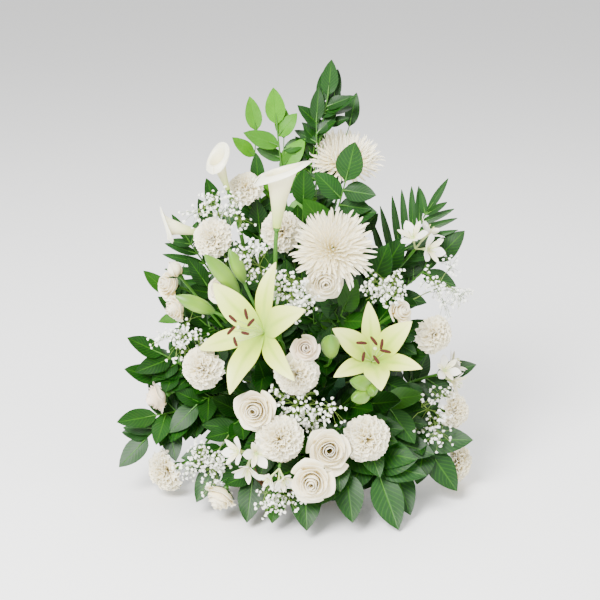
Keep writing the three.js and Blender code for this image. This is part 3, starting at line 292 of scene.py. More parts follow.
def ring_at(centre, direction, toward, radius):
    """Three points round a centre, square to a direction, as the stems of the solids have."""
    u = (toward - direction * toward.dot(direction)).normalized()
    v = direction.cross(u)
    turns = [2 * math.pi * i / 3 for i in range(3)]
    return [centre + u * (radius * math.cos(a)) + v * (radius * math.sin(a)) for a in turns]


def foot_of(row):
    """Where a bloom meets its calyx."""
    kind, place, size, (turn, lift) = row[:4]
    return seen(*place) - facing(turn, lift) * (KINDS[kind][0] * size)


class Line:
    """The line of a stem, with four points to steer it."""

    def __init__(self, *points):
        self.points = points

    def at(self, t):
        a, b, c, d = self.points
        s = 1 - t
        return a * s ** 3 + b * (3 * s * s * t) + c * (3 * s * t * t) + d * t ** 3

    def way(self, t):
        low, high = max(t - 1e-3, 0), min(t + 1e-3, 1)
        return (self.at(high) - self.at(low)).normalized()


# Sheets, tubes and the pieces that they make up

class Sheet:
    """A flat sheet with two faces and a rim, modelled once: u runs across it, v along it, w through it."""

    def __init__(self, across, along):
        bpy.ops.object.select_all(action="DESELECT")
        bpy.ops.mesh.primitive_grid_add(x_subdivisions=across, y_subdivisions=along, size=2)
        grid = bpy.context.object
        thick = grid.modifiers.new("Thickness", "SOLIDIFY")
        thick.thickness = 1
        thick.offset = -1
        bpy.ops.object.modifier_apply(modifier=thick.name)
        place = np.array([v.co for v in grid.data.vertices])
        self.u, self.v, self.w = place[:, 0], (place[:, 1] + 1) / 2, place[:, 2]
        self.faces = [tuple(p.vertices) for p in grid.data.polygons]
        bpy.data.objects.remove(grid)


SHEETS = {}


def sheet(across, along):
    if (across, along) not in SHEETS:
        SHEETS[across, along] = Sheet(across, along)
    return SHEETS[across, along]


class Model:
    """What a piece is made of: copies of sheets, tubes and rounds, in millimetres."""

    def __init__(self):
        self.points, self.faces, self.petal, self.tone, self.slots = [], [], [], [], []
        self.count = 0

    def add(self, points, faces, petal, tone, slot):
        self.points.append(points)
        self.faces += [tuple(i + self.count for i in face) for face in faces]
        self.slots += [slot] * len(faces)
        self.petal.append(petal)
        self.tone.append(np.full(len(points), tone) if np.isscalar(tone) else tone)
        self.count += len(points)

    def lay(self, across, along, surface, thickness, tone=0.5, slot=0, place=None):
        """Lays a copy of a sheet on a surface, which takes u and v and gives points."""
        base = sheet(across, along)
        step = 1e-3
        points = surface(base.u, base.v)
        over = surface(base.u + step, base.v) - surface(base.u - step, base.v)
        up = surface(base.u, np.minimum(base.v + step, 1)) - surface(base.u, np.maximum(base.v - step, 0))
        normal = np.cross(over, up)
        normal /= np.linalg.norm(normal, axis=1, keepdims=True) + 1e-12
        points = points + normal * (base.w * thickness)[:, None]
        if place is not None:
            points = placed(points, place)
        self.add(points, base.faces, np.stack([base.u / 2 + 0.5, base.v], 1), tone, slot)

    def tube(self, path, radii, sides=6, tone=0.5, slot=0, ribs=0):
        """A tube with closed ends along a path, with ribs along it or none."""
        path = np.array([list(p) for p in path], float)
        radii = np.broadcast_to(np.asarray(radii, float), len(path))
        ways = np.gradient(path, axis=0)
        ways /= np.linalg.norm(ways, axis=1, keepdims=True) + 1e-12
        side = np.cross(ways[0], (0.31, 0.52, 0.79))
        points = []
        turns = np.arange(sides) * 2 * math.pi / sides
        swell = 1 + (0.09 * np.cos(ribs * turns) if ribs else 0) * np.ones(sides)
        for centre, way, radius in zip(path, ways, radii):
            side = side - way * side.dot(way)
            side /= np.linalg.norm(side) + 1e-12
            other = np.cross(way, side)
            ring = np.outer(np.cos(turns) * swell, side) + np.outer(np.sin(turns) * swell, other)
            points.append(centre + radius * ring)
        rows = len(path)
        faces = [(r * sides + i, r * sides + (i + 1) % sides, (r + 1) * sides + (i + 1) % sides, (r + 1) * sides + i)
                 for r in range(rows - 1) for i in range(sides)]
        faces.append(tuple(range(sides))[::-1])
        faces.append(tuple((rows - 1) * sides + i for i in range(sides)))
        along = np.repeat(np.linspace(0, 1, rows), sides)
        self.add(np.concatenate(points), faces, np.stack([np.tile(turns / (2 * math.pi), rows), along], 1), tone, slot)

    def piece(self, name, node, slot, finishes, sharp=50):
        """Makes the object, lets it ride on the body and stand for its CAD node."""
        mesh = bpy.data.meshes.new(name)
        mesh.from_pydata(np.concatenate(self.points) * MM, [], self.faces)
        corners = np.zeros(len(mesh.loops), np.int32)
        mesh.loops.foreach_get("vertex_index", corners)
        petal = np.concatenate(self.petal)[corners]
        mesh.uv_layers.new(name="Petal").data.foreach_set("uv", petal.astype(np.float32).ravel())
        tone = mesh.attributes.new("tone", "FLOAT", "POINT")
        tone.data.foreach_set("value", np.concatenate(self.tone).astype(np.float32))
        mesh.polygons.foreach_set("material_index", self.slots)
        for finish in finishes:
            mesh.materials.append(finish)
        obj = bpy.data.objects.new(name, mesh)
        bpy.context.collection.objects.link(obj)
        bpy.ops.object.select_all(action="DESELECT")
        obj.select_set(True)
        bpy.context.view_layer.objects.active = obj
        bpy.ops.object.shade_smooth_by_angle(angle=math.radians(sharp))
        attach(obj, "root")
        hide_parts(node)
        return obj


def placed(points, place):
    """Points moved by a 4 by 4 matrix."""
    place = np.array(place)
    return points @ place[:3, :3].T + place[:3, 3]


def polar(radius, turn, height):
    """Points from their distance to the axis, their turn round it and their height."""
    radius, turn, height = np.broadcast_arrays(radius, turn, height)
    return np.stack([radius * np.cos(turn), radius * np.sin(turn), height], -1)


def lathe(model, profile, sides, slot=0, tone=0.5):
    """A closed body turned round the upright axis from (radius, height) pairs, both ends on the axis."""
    turns = np.arange(sides) * 2 * math.pi / sides
    inner = profile[1:-1]
    rings = [polar(radius, turns, height) for radius, height in inner]
    points = np.concatenate([[[0, 0, profile[0][1]]], *rings, [[0, 0, profile[-1][1]]]])
    last = len(points) - 1
    faces = []
    for i in range(sides):
        j = (i + 1) % sides
        faces.append((0, 1 + j, 1 + i))
        faces.append((last, last - sides + i, last - sides + j))
        for row in range(len(inner) - 1):
            low, high = 1 + row * sides, 1 + (row + 1) * sides
            faces.append((low + i, low + j, high + j, high + i))
    petal = np.stack([np.arctan2(points[:, 1], points[:, 0]) / (2 * math.pi) + 0.5, points[:, 2] / 100], 1)
    model.add(points, faces, petal, tone, slot)


def smooth(low, high, x):
    """Goes from 0 to 1 as x goes from low to high, without a kink."""
    x = np.clip((x - low) / (high - low), 0, 1)
    return x * x * (3 - 2 * x)


# Finishes

def linear(code):
    """An sRGB hex colour as linear red, green and blue."""
    parts = [int(code[i:i + 2], 16) / 255 for i in (1, 3, 5)]
    return tuple(c / 12.92 if c <= 0.04045 else ((c + 0.055) / 1.055) ** 2.4 for c in parts)


def opaque(colour):
    return (*colour[:3], 1.0)


MATH, NOISE = "ShaderNodeMath", "ShaderNodeTexNoise"


def node(tree, kind, inputs=None, **settings):
    """Adds a node: settings are its own, inputs are values, outputs or nodes whose first output is linked."""
    made = tree.nodes.new(kind)
    for key, value in settings.items():
        setattr(made, key, value)
    for key, value in (inputs or {}).items():
        if isinstance(value, bpy.types.Node):
            value = value.outputs[0]
        if isinstance(value, bpy.types.NodeSocket):
            tree.links.new(value, made.inputs[key])
        else:
            made.inputs[key].default_value = value
    return made


def finish(name, colour, roughness, **sockets):
    """A material of one name, with its shader's own sockets set."""
    material = bpy.data.materials.new(name)
    material.use_nodes = True
    shader = material.node_tree.nodes["Principled BSDF"]
    shader.inputs["Base Color"].default_value = opaque(colour)
    shader.inputs["Roughness"].default_value = roughness
    for key, value in sockets.items():
        shader.inputs[key.replace("_", " ")].default_value = value
    return material, material.node_tree, shader


def dress(tree, shader, share, low, high, relief, depth_mm, strength):
    """Gives a shader a colour between two, and a relief."""
    mix = node(tree, "ShaderNodeMix", {0: share, 6: low, 7: high}, data_type="RGBA")
    bump = node(tree, "ShaderNodeBump", {"Height": relief, "Distance": depth_mm * MM, "Strength": strength})
    tree.links.new(mix.outputs[2], shader.inputs["Base Color"])
    tree.links.new(bump.outputs[0], shader.inputs["Normal"])


def petal_finish(name, heart, middle, rim, veins=26, depth_mm=0.25, roughness=0.55, soft=0.25, rim_from=0.75, rib=0.0):
    """A petal: its colour runs from the heart to the rim, with fine veins along it and a rib like the heart.

    Living petals let some light through, so the shadows between them stay warm.
    """
    material, tree, shader = finish(name, middle, roughness, Subsurface_Weight=soft, Subsurface_Scale=0.003,
                                    Subsurface_Radius=(1.0, 0.92, 0.65), Sheen_Weight=0.15)
    petal = node(tree, "ShaderNodeUVMap", uv_map="Petal")
    apart = node(tree, "ShaderNodeSeparateXYZ", {0: petal})
    ramp = node(tree, "ShaderNodeValToRGB", {0: apart.outputs["Y"]})
    stops = ramp.color_ramp.elements
    stops[0].position, stops[0].color = 0.0, opaque(heart)
    stops[1].position, stops[1].color = 1.0, opaque(rim)
    stops.new(rim_from * 0.55).color = opaque(middle)
    spread = node(tree, "ShaderNodeMapping", {0: petal, "Scale": (veins, 2.2, 1)})
    vein = node(tree, NOISE, {"Vector": spread, "Scale": 1.0, "Detail": 3.0})
    place = node(tree, "ShaderNodeTexCoord").outputs["Object"]
    blotch = node(tree, NOISE, {"Vector": place, "Scale": 55.0, "Detail": 2.0})
    tone = node(tree, "ShaderNodeAttribute", attribute_name="tone").outputs["Fac"]
    share = node(tree, MATH, {0: blotch, 1: 0.15, 2: 0.0}, operation="MULTIPLY_ADD")
    share = node(tree, MATH, {0: vein, 1: 0.12, 2: share}, operation="MULTIPLY_ADD")
    share = node(tree, MATH, {0: tone, 1: 0.2, 2: share}, operation="MULTIPLY_ADD")
    if rib:
        off = node(tree, MATH, {0: apart.outputs["X"], 1: 0.5}, operation="SUBTRACT")
        off = node(tree, MATH, {0: off}, operation="ABSOLUTE")
        line = node(tree, "ShaderNodeMapRange", {0: off, 1: 0.0, 2: 0.16, 3: rib, 4: 0.0},
                    interpolation_type="SMOOTHSTEP")
        fade = node(tree, "ShaderNodeMapRange", {0: apart.outputs["Y"], 1: 0.3, 2: 0.95, 3: 1.0, 4: 0.0})
        share = node(tree, MATH, {0: line, 1: fade, 2: share}, operation="MULTIPLY_ADD")
    dress(tree, shader, share, ramp.outputs[0], opaque([0.5 * (a + b) for a, b in zip(heart, middle)]), vein,
          depth_mm, 0.35)
    return material


def leaf_finish(name, deep, mid, lime, roughness):
    """A waxy leaf: a pale midrib and side veins, small blotches, and a sheen that catches the lamps."""
    material, tree, shader = finish(name, mid, roughness, Specular_IOR_Level=0.28, Subsurface_Weight=0.05,
                                    Subsurface_Scale=0.002)
    petal = node(tree, "ShaderNodeUVMap", uv_map="Petal")
    apart = node(tree, "ShaderNodeSeparateXYZ", {0: petal})
    off = node(tree, MATH, {0: apart.outputs["X"], 1: 0.5}, operation="SUBTRACT")
    off = node(tree, MATH, {0: off}, operation="ABSOLUTE")
    slant = node(tree, MATH, {0: off, 1: -0.55, 2: apart.outputs["Y"]}, operation="MULTIPLY_ADD")
    wave = node(tree, MATH, {0: slant, 1: 62.0}, operation="MULTIPLY")
    wave = node(tree, MATH, {0: wave}, operation="SINE")
    wave = node(tree, MATH, {0: wave, 1: 0.5, 2: 0.5}, operation="MULTIPLY_ADD")
    vein = node(tree, MATH, {0: wave, 1: 6.0}, operation="POWER")
    vein = node(tree, MATH, {0: vein, 1: 0.35}, operation="MULTIPLY")
    rib = node(tree, "ShaderNodeMapRange", {0: off, 1: 0.0, 2: 0.045, 3: 1.0, 4: 0.0})
    lines = node(tree, MATH, {0: vein, 1: rib}, operation="MAXIMUM")
    place = node(tree, "ShaderNodeTexCoord").outputs["Object"]
    blotch = node(tree, NOISE, {"Vector": place, "Scale": 70.0, "Detail": 4.0})
    tone = node(tree, "ShaderNodeAttribute", attribute_name="tone").outputs["Fac"]
    ramp = node(tree, "ShaderNodeValToRGB", {0: tone})
    stops = ramp.color_ramp.elements
    stops[0].position, stops[0].color = 0.0, opaque(deep)
    stops[1].position, stops[1].color = 1.0, opaque(lime)
    stops.new(0.6).color = opaque(mid)
    darker = node(tree, MATH, {0: blotch, 1: 0.5}, operation="MULTIPLY")
    base = node(tree, "ShaderNodeMix", {0: darker, 6: ramp, 7: opaque(deep)}, data_type="RGBA")
    pale = opaque([0.55 * a + 0.45 * b for a, b in zip(mid, lime)])
    paler = node(tree, MATH, {0: lines, 1: 0.55}, operation="MULTIPLY")
    relief = node(tree, MATH, {0: blotch, 1: 0.4}, operation="MULTIPLY")
    relief = node(tree, MATH, {0: relief, 1: lines}, operation="SUBTRACT")
    dress(tree, shader, paler, base.outputs[2], pale, relief, 0.4, 0.5)
    return material


def grained_finish(name, light, dark, roughness, scale, stretch, depth_mm, **sockets):
    """A material with a grain of two colours along the piece, from noise drawn out one way."""
    material, tree, shader = finish(name, light, roughness, **sockets)
    petal = node(tree, "ShaderNodeUVMap", uv_map="Petal")
    drawn = node(tree, "ShaderNodeMapping", {0: petal, "Scale": stretch})
    grain = node(tree, NOISE, {"Vector": drawn, "Scale": scale, "Detail": 4.0})
    tone = node(tree, "ShaderNodeAttribute", attribute_name="tone").outputs["Fac"]
    share = node(tree, MATH, {0: tone, 1: 0.5, 2: -0.45}, operation="MULTIPLY_ADD")
    share = node(tree, MATH, {0: grain, 1: 1.3, 2: share}, operation="MULTIPLY_ADD")
    dress(tree, shader, share, opaque(dark), opaque(light), grain, depth_mm, 0.6)
    return material


def cell_finish(name, light, dark, roughness, cell_mm, depth_mm, **sockets):
    """A granular or porous surface: cells of a real size, darker between them."""
    material, tree, shader = finish(name, light, roughness, **sockets)
    place = node(tree, "ShaderNodeTexCoord").outputs["Object"]
    cells = node(tree, "ShaderNodeTexVoronoi", {"Vector": place, "Scale": 1 / (cell_mm * MM)})
    relief = node(tree, MATH, {0: cells, 1: -1.0}, operation="MULTIPLY")
    dress(tree, shader, cells, opaque(light), opaque(dark), relief, depth_mm, 0.7)
    return material


# Blooms, each in its own frame: the origin is where it meets its calyx, and it faces +Z

TURN = 2.39996  # the golden angle, which petals and florets are set round by


def petal_ways(turn, lean):
    """The ways along a petal, across it and off its inner face."""
    along = np.array([math.cos(turn) * math.sin(lean), math.sin(turn) * math.sin(lean), math.cos(lean)])
    across = np.array([-math.sin(turn), math.cos(turn), 0.0])
    return along, across, np.cross(along, across)


def carnation(model, place, size, seed, ruffle, petals=54):
    """Fan petals with fringed, ruffled rims, crowded into a dome."""
    for i in range(petals):
        share = i / (petals - 1)
        n = seed + 7.3 * i
        lean = math.radians(78 * (1 - share) ** 0.62 + 9 * (chance(n + 1) - 0.5))
        along, across, inward = petal_ways(i * TURN + 0.5 * chance(n), lean)
        length = size * (0.47 - 0.02 * share + 0.05 * (chance(n + 2) - 0.5))
        spread = 0.56 - 0.12 * share
        waves, phase = 2.1 + 1.3 * chance(n + 3), 6.3 * chance(n + 4)
        curl = size * (0.05 + 0.09 * chance(n + 5)) * (1 - share) ** 0.6

        def surface(u, v):
            reach = 0.04 * size + (length - 0.04 * size) * v
            folds = np.sin(math.pi * waves * u + phase) + 0.4 * np.sin(math.pi * 2.7 * waves * u + 2 * phase)
            reach = reach + size * 0.012 * np.cos(7.5 * math.pi * u + phase) * smooth(0.8, 1, v) - 0.05 * size * u * u * v
            off = ruffle * size * 0.042 * folds * v ** 2.2 - curl * smooth(0.45, 1.05, v) ** 1.5
            points = np.outer(reach * np.cos(spread * u), along) + np.outer(reach * np.sin(spread * u), across)
            return points + np.outer(off, inward)

        model.lay(14, 6, surface, 0.5, tone=chance(n + 6), place=place)


def rose(model, place, size, seed, petals=19, wide_open=1.0):
    """A furled heart in ever broader petals, whose rims roll back more and more towards the outside."""
    for i in range(petals):
        share = i / (petals - 1)
        n = seed + 5.3 * i
        turn = i * TURN + seed
        far = size * (0.055 + 0.31 * share ** 1.15 * (0.94 + 0.12 * chance(n)))
        tall = size * (0.6 - 0.3 * share ** 1.7) * (0.97 + 0.06 * chance(n + 1))
        half = math.radians(112 - 60 * share ** 0.8)
        roll = size * 0.15 * share ** 1.5 * wide_open * (0.75 + 0.5 * chance(n + 2))
        furl = 0.4 * max(0.0, 1 - share / 0.45)
        point = size * 0.05 * share

        def surface(u, v):
            lip = smooth(0.6, 1.05, v)
            tip = point * np.clip(1 - np.abs(u) * 2.2, 0, 1) ** 1.4 * lip
            dip = 1 - (0.1 + 0.16 * share) * np.abs(u) ** 2.4 * v
            wave = 0.01 * size * np.sin(4.2 * u + 6.3 * chance(n + 3)) * v ** 3
            r = 0.03 * size + far * np.sin(math.pi / 2 * v ** 0.62) * (1 + 0.1 * u) * (1 - furl * lip)
            r = r + roll * lip * (1 - 0.35 * u * u) + wave + tip * 0.8
            z = 0.02 * size + tall * (0.2 * v + 0.8 * v ** 1.35) * dip - roll * 0.75 * lip ** 1.6 - tip * 0.3 + wave
            return polar(r, turn + half * u * (0.45 + 0.55 * np.sin(math.pi * (0.08 + 0.5 * v))), z)

        model.lay(12, 8, surface, 0.6, tone=0.9 * chance(n + 4) * (0.35 + 0.65 * share), place=place)


def bud_of_rose(model, place, size, seed):
    """Petals furled to a point."""
    for i in range(6):
        turn = i * TURN + seed
        far = size * (0.34 - 0.03 * i)

        def surface(u, v):
            r = 0.1 * size + far * np.sin(math.pi * (0.12 + 0.8 * v)) * 1.3
            z = 1.42 * size * v * (1 - 0.06 * np.abs(u) ** 2)
            return polar(r * (1 - 0.55 * smooth(0.55, 1, v)), turn + 1.25 * u * (1 - 0.4 * v) + 1.1 * v, z)

        model.lay(8, 8, surface, 0.6, tone=0.3, place=place)


def mum(model, place, size, seed, petals=230):
    """Narrow channelled petals: long and spread at the rim, short and curled in over the heart."""
    for i in range(petals):
        share = i / (petals - 1)
        n = seed + 3.1 * i
        turn = i * TURN + 0.12 * (chance(n) - 0.5)
        lean = math.radians(4 + 88 * (1 - share) ** 0.6)
        reach = size * (0.84 + 0.2 * chance(n + 1)) / math.hypot(math.sin(lean) / 0.49, math.cos(lean) / 0.29)
        far, lift = reach * math.sin(lean), reach * math.cos(lean) + 0.035 * size * (chance(n + 2) - 0.4)
        half = size * (0.0175 - 0.004 * share)
        sway = 0.16 * (chance(n + 3) - 0.5)
        tip_up = size * 0.035 * (chance(n + 4) - 0.25)
        aside = np.array([-math.sin(turn), math.cos(turn), 0.0])

        def surface(u, v):
            r = 0.02 * size + (far - 0.02 * size) * np.sin(math.pi / 2 * v) ** 0.9
            z = 0.02 * size + (lift - 0.02 * size) * (1 - np.cos(math.pi / 2 * v)) ** 0.85 + tip_up * v ** 4
            across = half * u * (0.3 + 0.7 * smooth(0, 0.5, v)) * (1 - 0.85 * smooth(0.5, 1.02, v) ** 1.6)
            points = polar(r, turn + sway * v * v, z + 0.75 * half * u * u)
            return points + across[:, None] * aside

        model.lay(4, 8, surface, 0.5, tone=chance(n + 5) * (1 - 0.6 * share), place=place)


def blade(base, direction, normal, length, width, curve=0.14, widest=0.42, keel=1.2, wave=0.0, phase=0.0, power=0.8,
          bend=2):
    """The surface of a leaf or tepal: it bends back by curve times its length, and is folded along its rib."""
    right = direction.cross(normal).normalized()
    up = right.cross(direction)
    base, direction, right, up = (np.array(x) for x in (base, direction, right, up))
    shape = math.log(0.5) / math.log(widest)

    def surface(u, v):
        t = np.clip(v, 0, 1)
        half = width / 2 * np.clip(np.sin(math.pi * t ** shape), 0, None) ** power + 0.25
        fold = -keel * (1 - np.abs(u) ** 1.4) * np.minimum(1, half / (width / 3))
        ripple = wave * np.sin(9 * v + phase + 1.5 * u) * np.abs(u) ** 1.5 * np.sin(math.pi * t) * np.sign(u)
        rise = -curve * length * np.abs(v) ** bend + fold + ripple
        return base + np.outer(v * length, direction) + np.outer(u * half, right) + np.outer(rise, up)

    return surface


def lily(model, place, size, seed, opened):
    """Six recurved tepals with a grooved rib and waved edges, six loose stamens and a pistil."""
    for i in range(6):
        outer = i % 2
        turn = math.pi * (i + 0.5) / 3
        lean = math.radians((64 if outer else 53) * opened)
        out = Vector((math.cos(turn), math.sin(turn), 0))
        direction = out * math.sin(lean) + Vector((0, 0, math.cos(lean)))
        face = Vector((0, 0, 1)) - out * 0.8
        width = size * (0.31 if outer else 0.42)
        surface = blade(Vector((0, 0, 0.08 * size)), direction, face, size, width, curve=0.42 * opened,
                        widest=0.52, keel=2.4, wave=0.0 if outer else 2.0, phase=seed + i, bend=3.0)
        model.lay(12, 22, surface, 0.9, tone=0.25 + 0.35 * chance(seed + i), place=place)
        lay = (out * (0.2 + 0.22 * chance(seed + 3 * i)) + Vector((0, 0, 1))).normalized()
        end = Vector((0, 0, 0.1 * size)) + lay * (size * (0.56 + 0.14 * chance(seed + 5 * i)))
        points = [Vector((0, 0, 0.1 * size)) + out * 1.5, Vector((0, 0, 0.1 * size)) + lay * (0.4 * size) + out * 2, end]
        path = placed(np.array([list(p) for p in points]), place)
        model.tube(path, [1.0, 0.8, 0.6], 6, slot=1)
        swing = math.radians(35 + 50 * chance(seed + 7 * i))
        aside = Vector((-math.sin(turn), math.cos(turn), 0))
        cross = (aside * math.cos(swing) + out * math.sin(swing) + Vector((0, 0, 0.15))).normalized()
        shape = [(-8, 0.6), (-6, 2.0), (0, 2.5), (6, 2.0), (8, 0.6)]
        path = placed(np.array([list(end + cross * s + lay * (0.9 - s * s * 0.02)) for s, _ in shape]), place)
        model.tube(path, [r for _, r in shape], 7, slot=2)
    stigma = [(0.1, 1.8), (0.3, 1.5), (0.68, 1.3), (0.71, 2.6), (0.74, 2.4), (0.745, 0.6)]
    path = placed(np.array([(0, -0.02 * size * z, z * size) for z, _ in stigma]), place)
    model.tube(path, [r for _, r in stigma], 9, slot=1)


CALLA_ROWS = ((0.02, 0.05), (0.34, 0.09), (0.64, 0.14), (0.84, 0.19), (0.92, 0.25))


def calla(model, place, size, seed):
    """One spathe rolled into a trumpet, its edges lapped and its rim rolled out to a tip, round a yellow spadix."""
    steps = np.linspace(0, 1, len(CALLA_ROWS))
    heights = np.array([h for h, _ in CALLA_ROWS])
    radii = np.array([r for _, r in CALLA_ROWS])

    def surface(u, v):
        turn = (math.pi + 0.32) * u
        row = np.clip(v, 0, 1)
        tip = (1 + np.cos(turn)) / 2
        radius = np.interp(row, steps, radii)
        radius = 0.5 * radius + 0.25 * (np.interp(row - 0.1, steps, radii) + np.interp(row + 0.1, steps, radii))
        rise = np.interp(row, steps, heights)
        lap = 1 + 0.1 * u * smooth(0.8, 1, np.abs(u)) * row
        r = size * radius * (1 + 0.35 * row * tip ** 4) * lap
        z = size * (rise - 0.26 * row ** 2 * (1 - tip) + 0.08 * row * tip ** 4)
        roll = smooth(0.84, 1, row)
        r = r + size * 0.05 * roll * (1 + 0.25 * np.sin(2 * turn + seed))
        z = z - size * 0.1 * roll ** 1.5 * (1 - 0.8 * tip ** 4) + size * 0.02 * np.sin(3 * turn + seed) * roll
        return polar(r, turn, z)

    model.lay(44, 26, surface, 1.1, tone=0.3, place=place)
    path = placed(np.array([(0, 0, 2), (0, 0, 0.2 * size), (0, 0, 0.4 * size), (0, 0, 0.56 * size), (0, 0, 0.61 * size)]), place)
    model.tube(path, np.array([0.02, 0.03, 0.035, 0.028, 0.008]) * size, 12, slot=1)


def alstroemeria(model, place, size, seed):
    """Three trumpets of six tepals, the inner ones narrow and flecked."""
    for k, azimuth in enumerate((30, 150, 270)):
        around = math.radians(azimuth)
        lean = math.radians(36)
        way = Vector((math.cos(around) * math.sin(lean), math.sin(around) * math.sin(lean), math.cos(lean)))
        stalk = placed(np.array([(0, 0, 0), list(way * (0.2 * size)), list(way * (0.42 * size))]), place)
        model.tube(stalk, [1.4, 1.3, 0.05 * size], 8, slot=1, tone=0.5)
        side = way.cross(Vector((0, 0, 1))).normalized()
        other = way.cross(side)
        for i in range(6):
            inner = i % 2
            turn = math.pi * i / 3 + 0.3 * k
            out = side * math.cos(turn) + other * math.sin(turn)
            lift = math.radians(30 if inner else 40)
            direction = way * math.cos(lift) + out * math.sin(lift)
            face = way - out * 0.5
            base = way * (0.38 * size) + out * 1.0
            width = size * (0.13 if inner else 0.22)
            surface = blade(base, direction, face, 0.4 * size, width, curve=0.28, widest=0.6, keel=1.0,
                            wave=0.6, phase=seed + i + k)
            model.lay(8, 10, surface, 0.6, tone=0.75 if inner else 0.3, slot=2 if inner else 0, place=place)
            fine = way * math.cos(0.2) + out * math.sin(0.2)
            if inner:
                ends = [base, base + fine * (0.16 * size), base + fine * (0.27 * size)]
                path = placed(np.array([list(p) for p in ends]), place)
                model.tube(path, [0.5, 0.4, 0.9], 5, slot=1)


# The stems of the solids, found again among their corners

MATCH = 0.3  # millimetres within which a corner of the solids is the one looked for


class Solid:
    """The corners of a CAD node, to look a place up among them."""

    def __init__(self, name):
        corners = [v.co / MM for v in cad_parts[name].data.vertices]
        self.tree = kdtree.KDTree(len(corners))
        for i, corner in enumerate(corners):
            self.tree.insert(corner, i)
        self.tree.balance()

    def found(self, points):
        return sum(self.tree.find(point)[2] < MATCH for point in points)


def likeliest(solid, bends, points_of):
    """The bend that puts most of its points on corners of the solid."""
    return max(bends, key=lambda bend: solid.found(points_of(bend)))


def heads_surface():
    """The faces of all the blooms, to keep the gypsophila out of them."""
    corners, faces = [], []
    for name in BLOOMS:
        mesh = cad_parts[name].data
        first = len(corners)
        corners += [v.co / MM for v in mesh.vertices]
        faces += [[first + i for i in p.vertices] for p in mesh.polygons]
    return BVHTree.FromPolygons(corners, faces)


class Stem:
    """A stem of a bunch: where it ends, the way it arrives, its leaves' places and its line for each bend."""

    def __init__(self, bunch, seed, end, arrive, face_out=FRONT_UP, leaf_at=(), **more):
        self.bunch, self.seed, self.end, self.arrive, self.face_out = bunch, seed, end, arrive, face_out
        self.leaf_at = list(leaf_at)
        self.more = more

    def bent(self, bend):
        at, out = BUNCHES[self.bunch]
        reach = (self.end - at).length
        push = Vector((bend[0], 0, bend[1]))
        aim = self.end - at
        side = (aim - out * aim.dot(out)).normalized()
        start = at + out * (1 + 4 * chance(self.seed)) + side * 2
        self.line = Line(start, at + out * (4 + reach * 0.3) + push, self.end - self.arrive * (reach * 0.3) + push,
                         self.end)
        return self

    def corners(self):
        """Corners that the solid of this stem has."""
        places = [0.25, *(self.leaf_at or [0.65]), 1]
        return [p for t in places for p in ring_at(self.line.at(t), self.line.way(t), self.face_out, STEM_RADIUS)]


def bloom_stem(row, seed):
    kind, _, size, (turn, lift), bunch = row[:5]
    forward = facing(turn, lift)
    share, height = KINDS[kind][1:]
    top = foot_of(row) - forward * 0.35
    return lambda bend: Stem(bunch, seed, top - forward * (size * height), forward, kind=kind, top=top,
                             wide=size * share, size=size).bent(bend)


def bud_stem(row, seed):
    bunch, foot, tip, thickness = row
    start, end = seen(*foot), seen(*tip)
    forward = (end - start).normalized()
    return lambda bend: Stem(bunch, seed, start, forward, kind="lily_bud", top=end, thickness=thickness).bent(bend)


def spray_stem(row, seed):
    bunch, tip, count, length, width, start, spread = row

    def made(bend):
        end = seen(*tip) + Vector((bend[0] * 0.3, abs(bend[1]) * 0.6, 0))
        at = BUNCHES[bunch][0]
        arrive = (end - at).normalized()
        if end.z < at.z:
            arrive = (arrive + Vector((0, 0, -0.5))).normalized()
        places = [start + (1 - start) * (i + 0.3) / (count - 0.7) for i in range(count - 1)]
        return Stem(bunch, seed, end - arrive * length, arrive, BACK_UP if bunch == "back" else FRONT_UP, places,
                    kind="spray", leaf=(length, width), spread=spread).bent(bend)

    return made


def frond_stem(row, seed):
    bunch, tip, pairs, length, width = row

    def made(bend):
        end = seen(*tip) + Vector((0, abs(bend[1]) * 0.6, 0))
        arrive = (end - BUNCHES[bunch][0]).normalized()
        places = [0.5 + 0.48 * i / (pairs - 1) for i in range(pairs)]
        return Stem(bunch, seed, end - arrive * (0.7 * length), arrive, FROND_OUT, places,
                    kind="frond", leaf=(length, width), spread=58).bent(bend)

    return made


def leaf_on(stem, t, sign, index, bend):
    """A leaf's base, direction, normal, length and width, for a bend of it."""
    paired = stem.more["kind"] == "frond"
    tangent = stem.line.way(t)
    side = tangent.cross(stem.face_out).normalized() * sign
    n = stem.seed + 7 * index
    share = (t - stem.leaf_at[0]) / (1 - stem.leaf_at[0])
    size = math.sin(math.pi * (0.25 + 0.62 * share)) if paired else 0.84 + 0.2 * chance(n)
    uneven = -30 * share if paired else 12 * (chance(n + 1) - 0.5)
    turn, lift, shrink = bend
    angle = math.radians(stem.more["spread"] + uneven + turn)
    stand = lift + (0 if paired else 0.4 * (chance(n + 2) - 0.3))
    direction = (tangent * math.cos(angle) + side * math.sin(angle) + stem.face_out * stand).normalized()
    normal = (stem.face_out + side * (0.5 * (chance(n + 3) - 0.5))).normalized()
    length, width = stem.more["leaf"]
    return (stem.line.at(t), direction, normal, length * size * shrink,
            width * (1 if paired else size * math.sqrt(shrink)))


def leaf_corners(base, direction, normal, length, width):
    """Corners that the solid of a leaf has: left edge, right edge and rib, twice, and the tip."""
    right = direction.cross(normal).normalized()
    up = right.cross(direction)
    power = math.log(0.5) / math.log(0.42)
    points = [base + direction * length - up * (0.14 * length)]
    for t in (0.3, 0.68):
        half = width / 2 * math.sin(math.pi * t ** power) ** 0.8
        middle = base + direction * (length * t) - up * (0.14 * length * t * t)
        points += [middle - right * half, middle + right * half, middle - up * LEAF_KEEL]
    return points


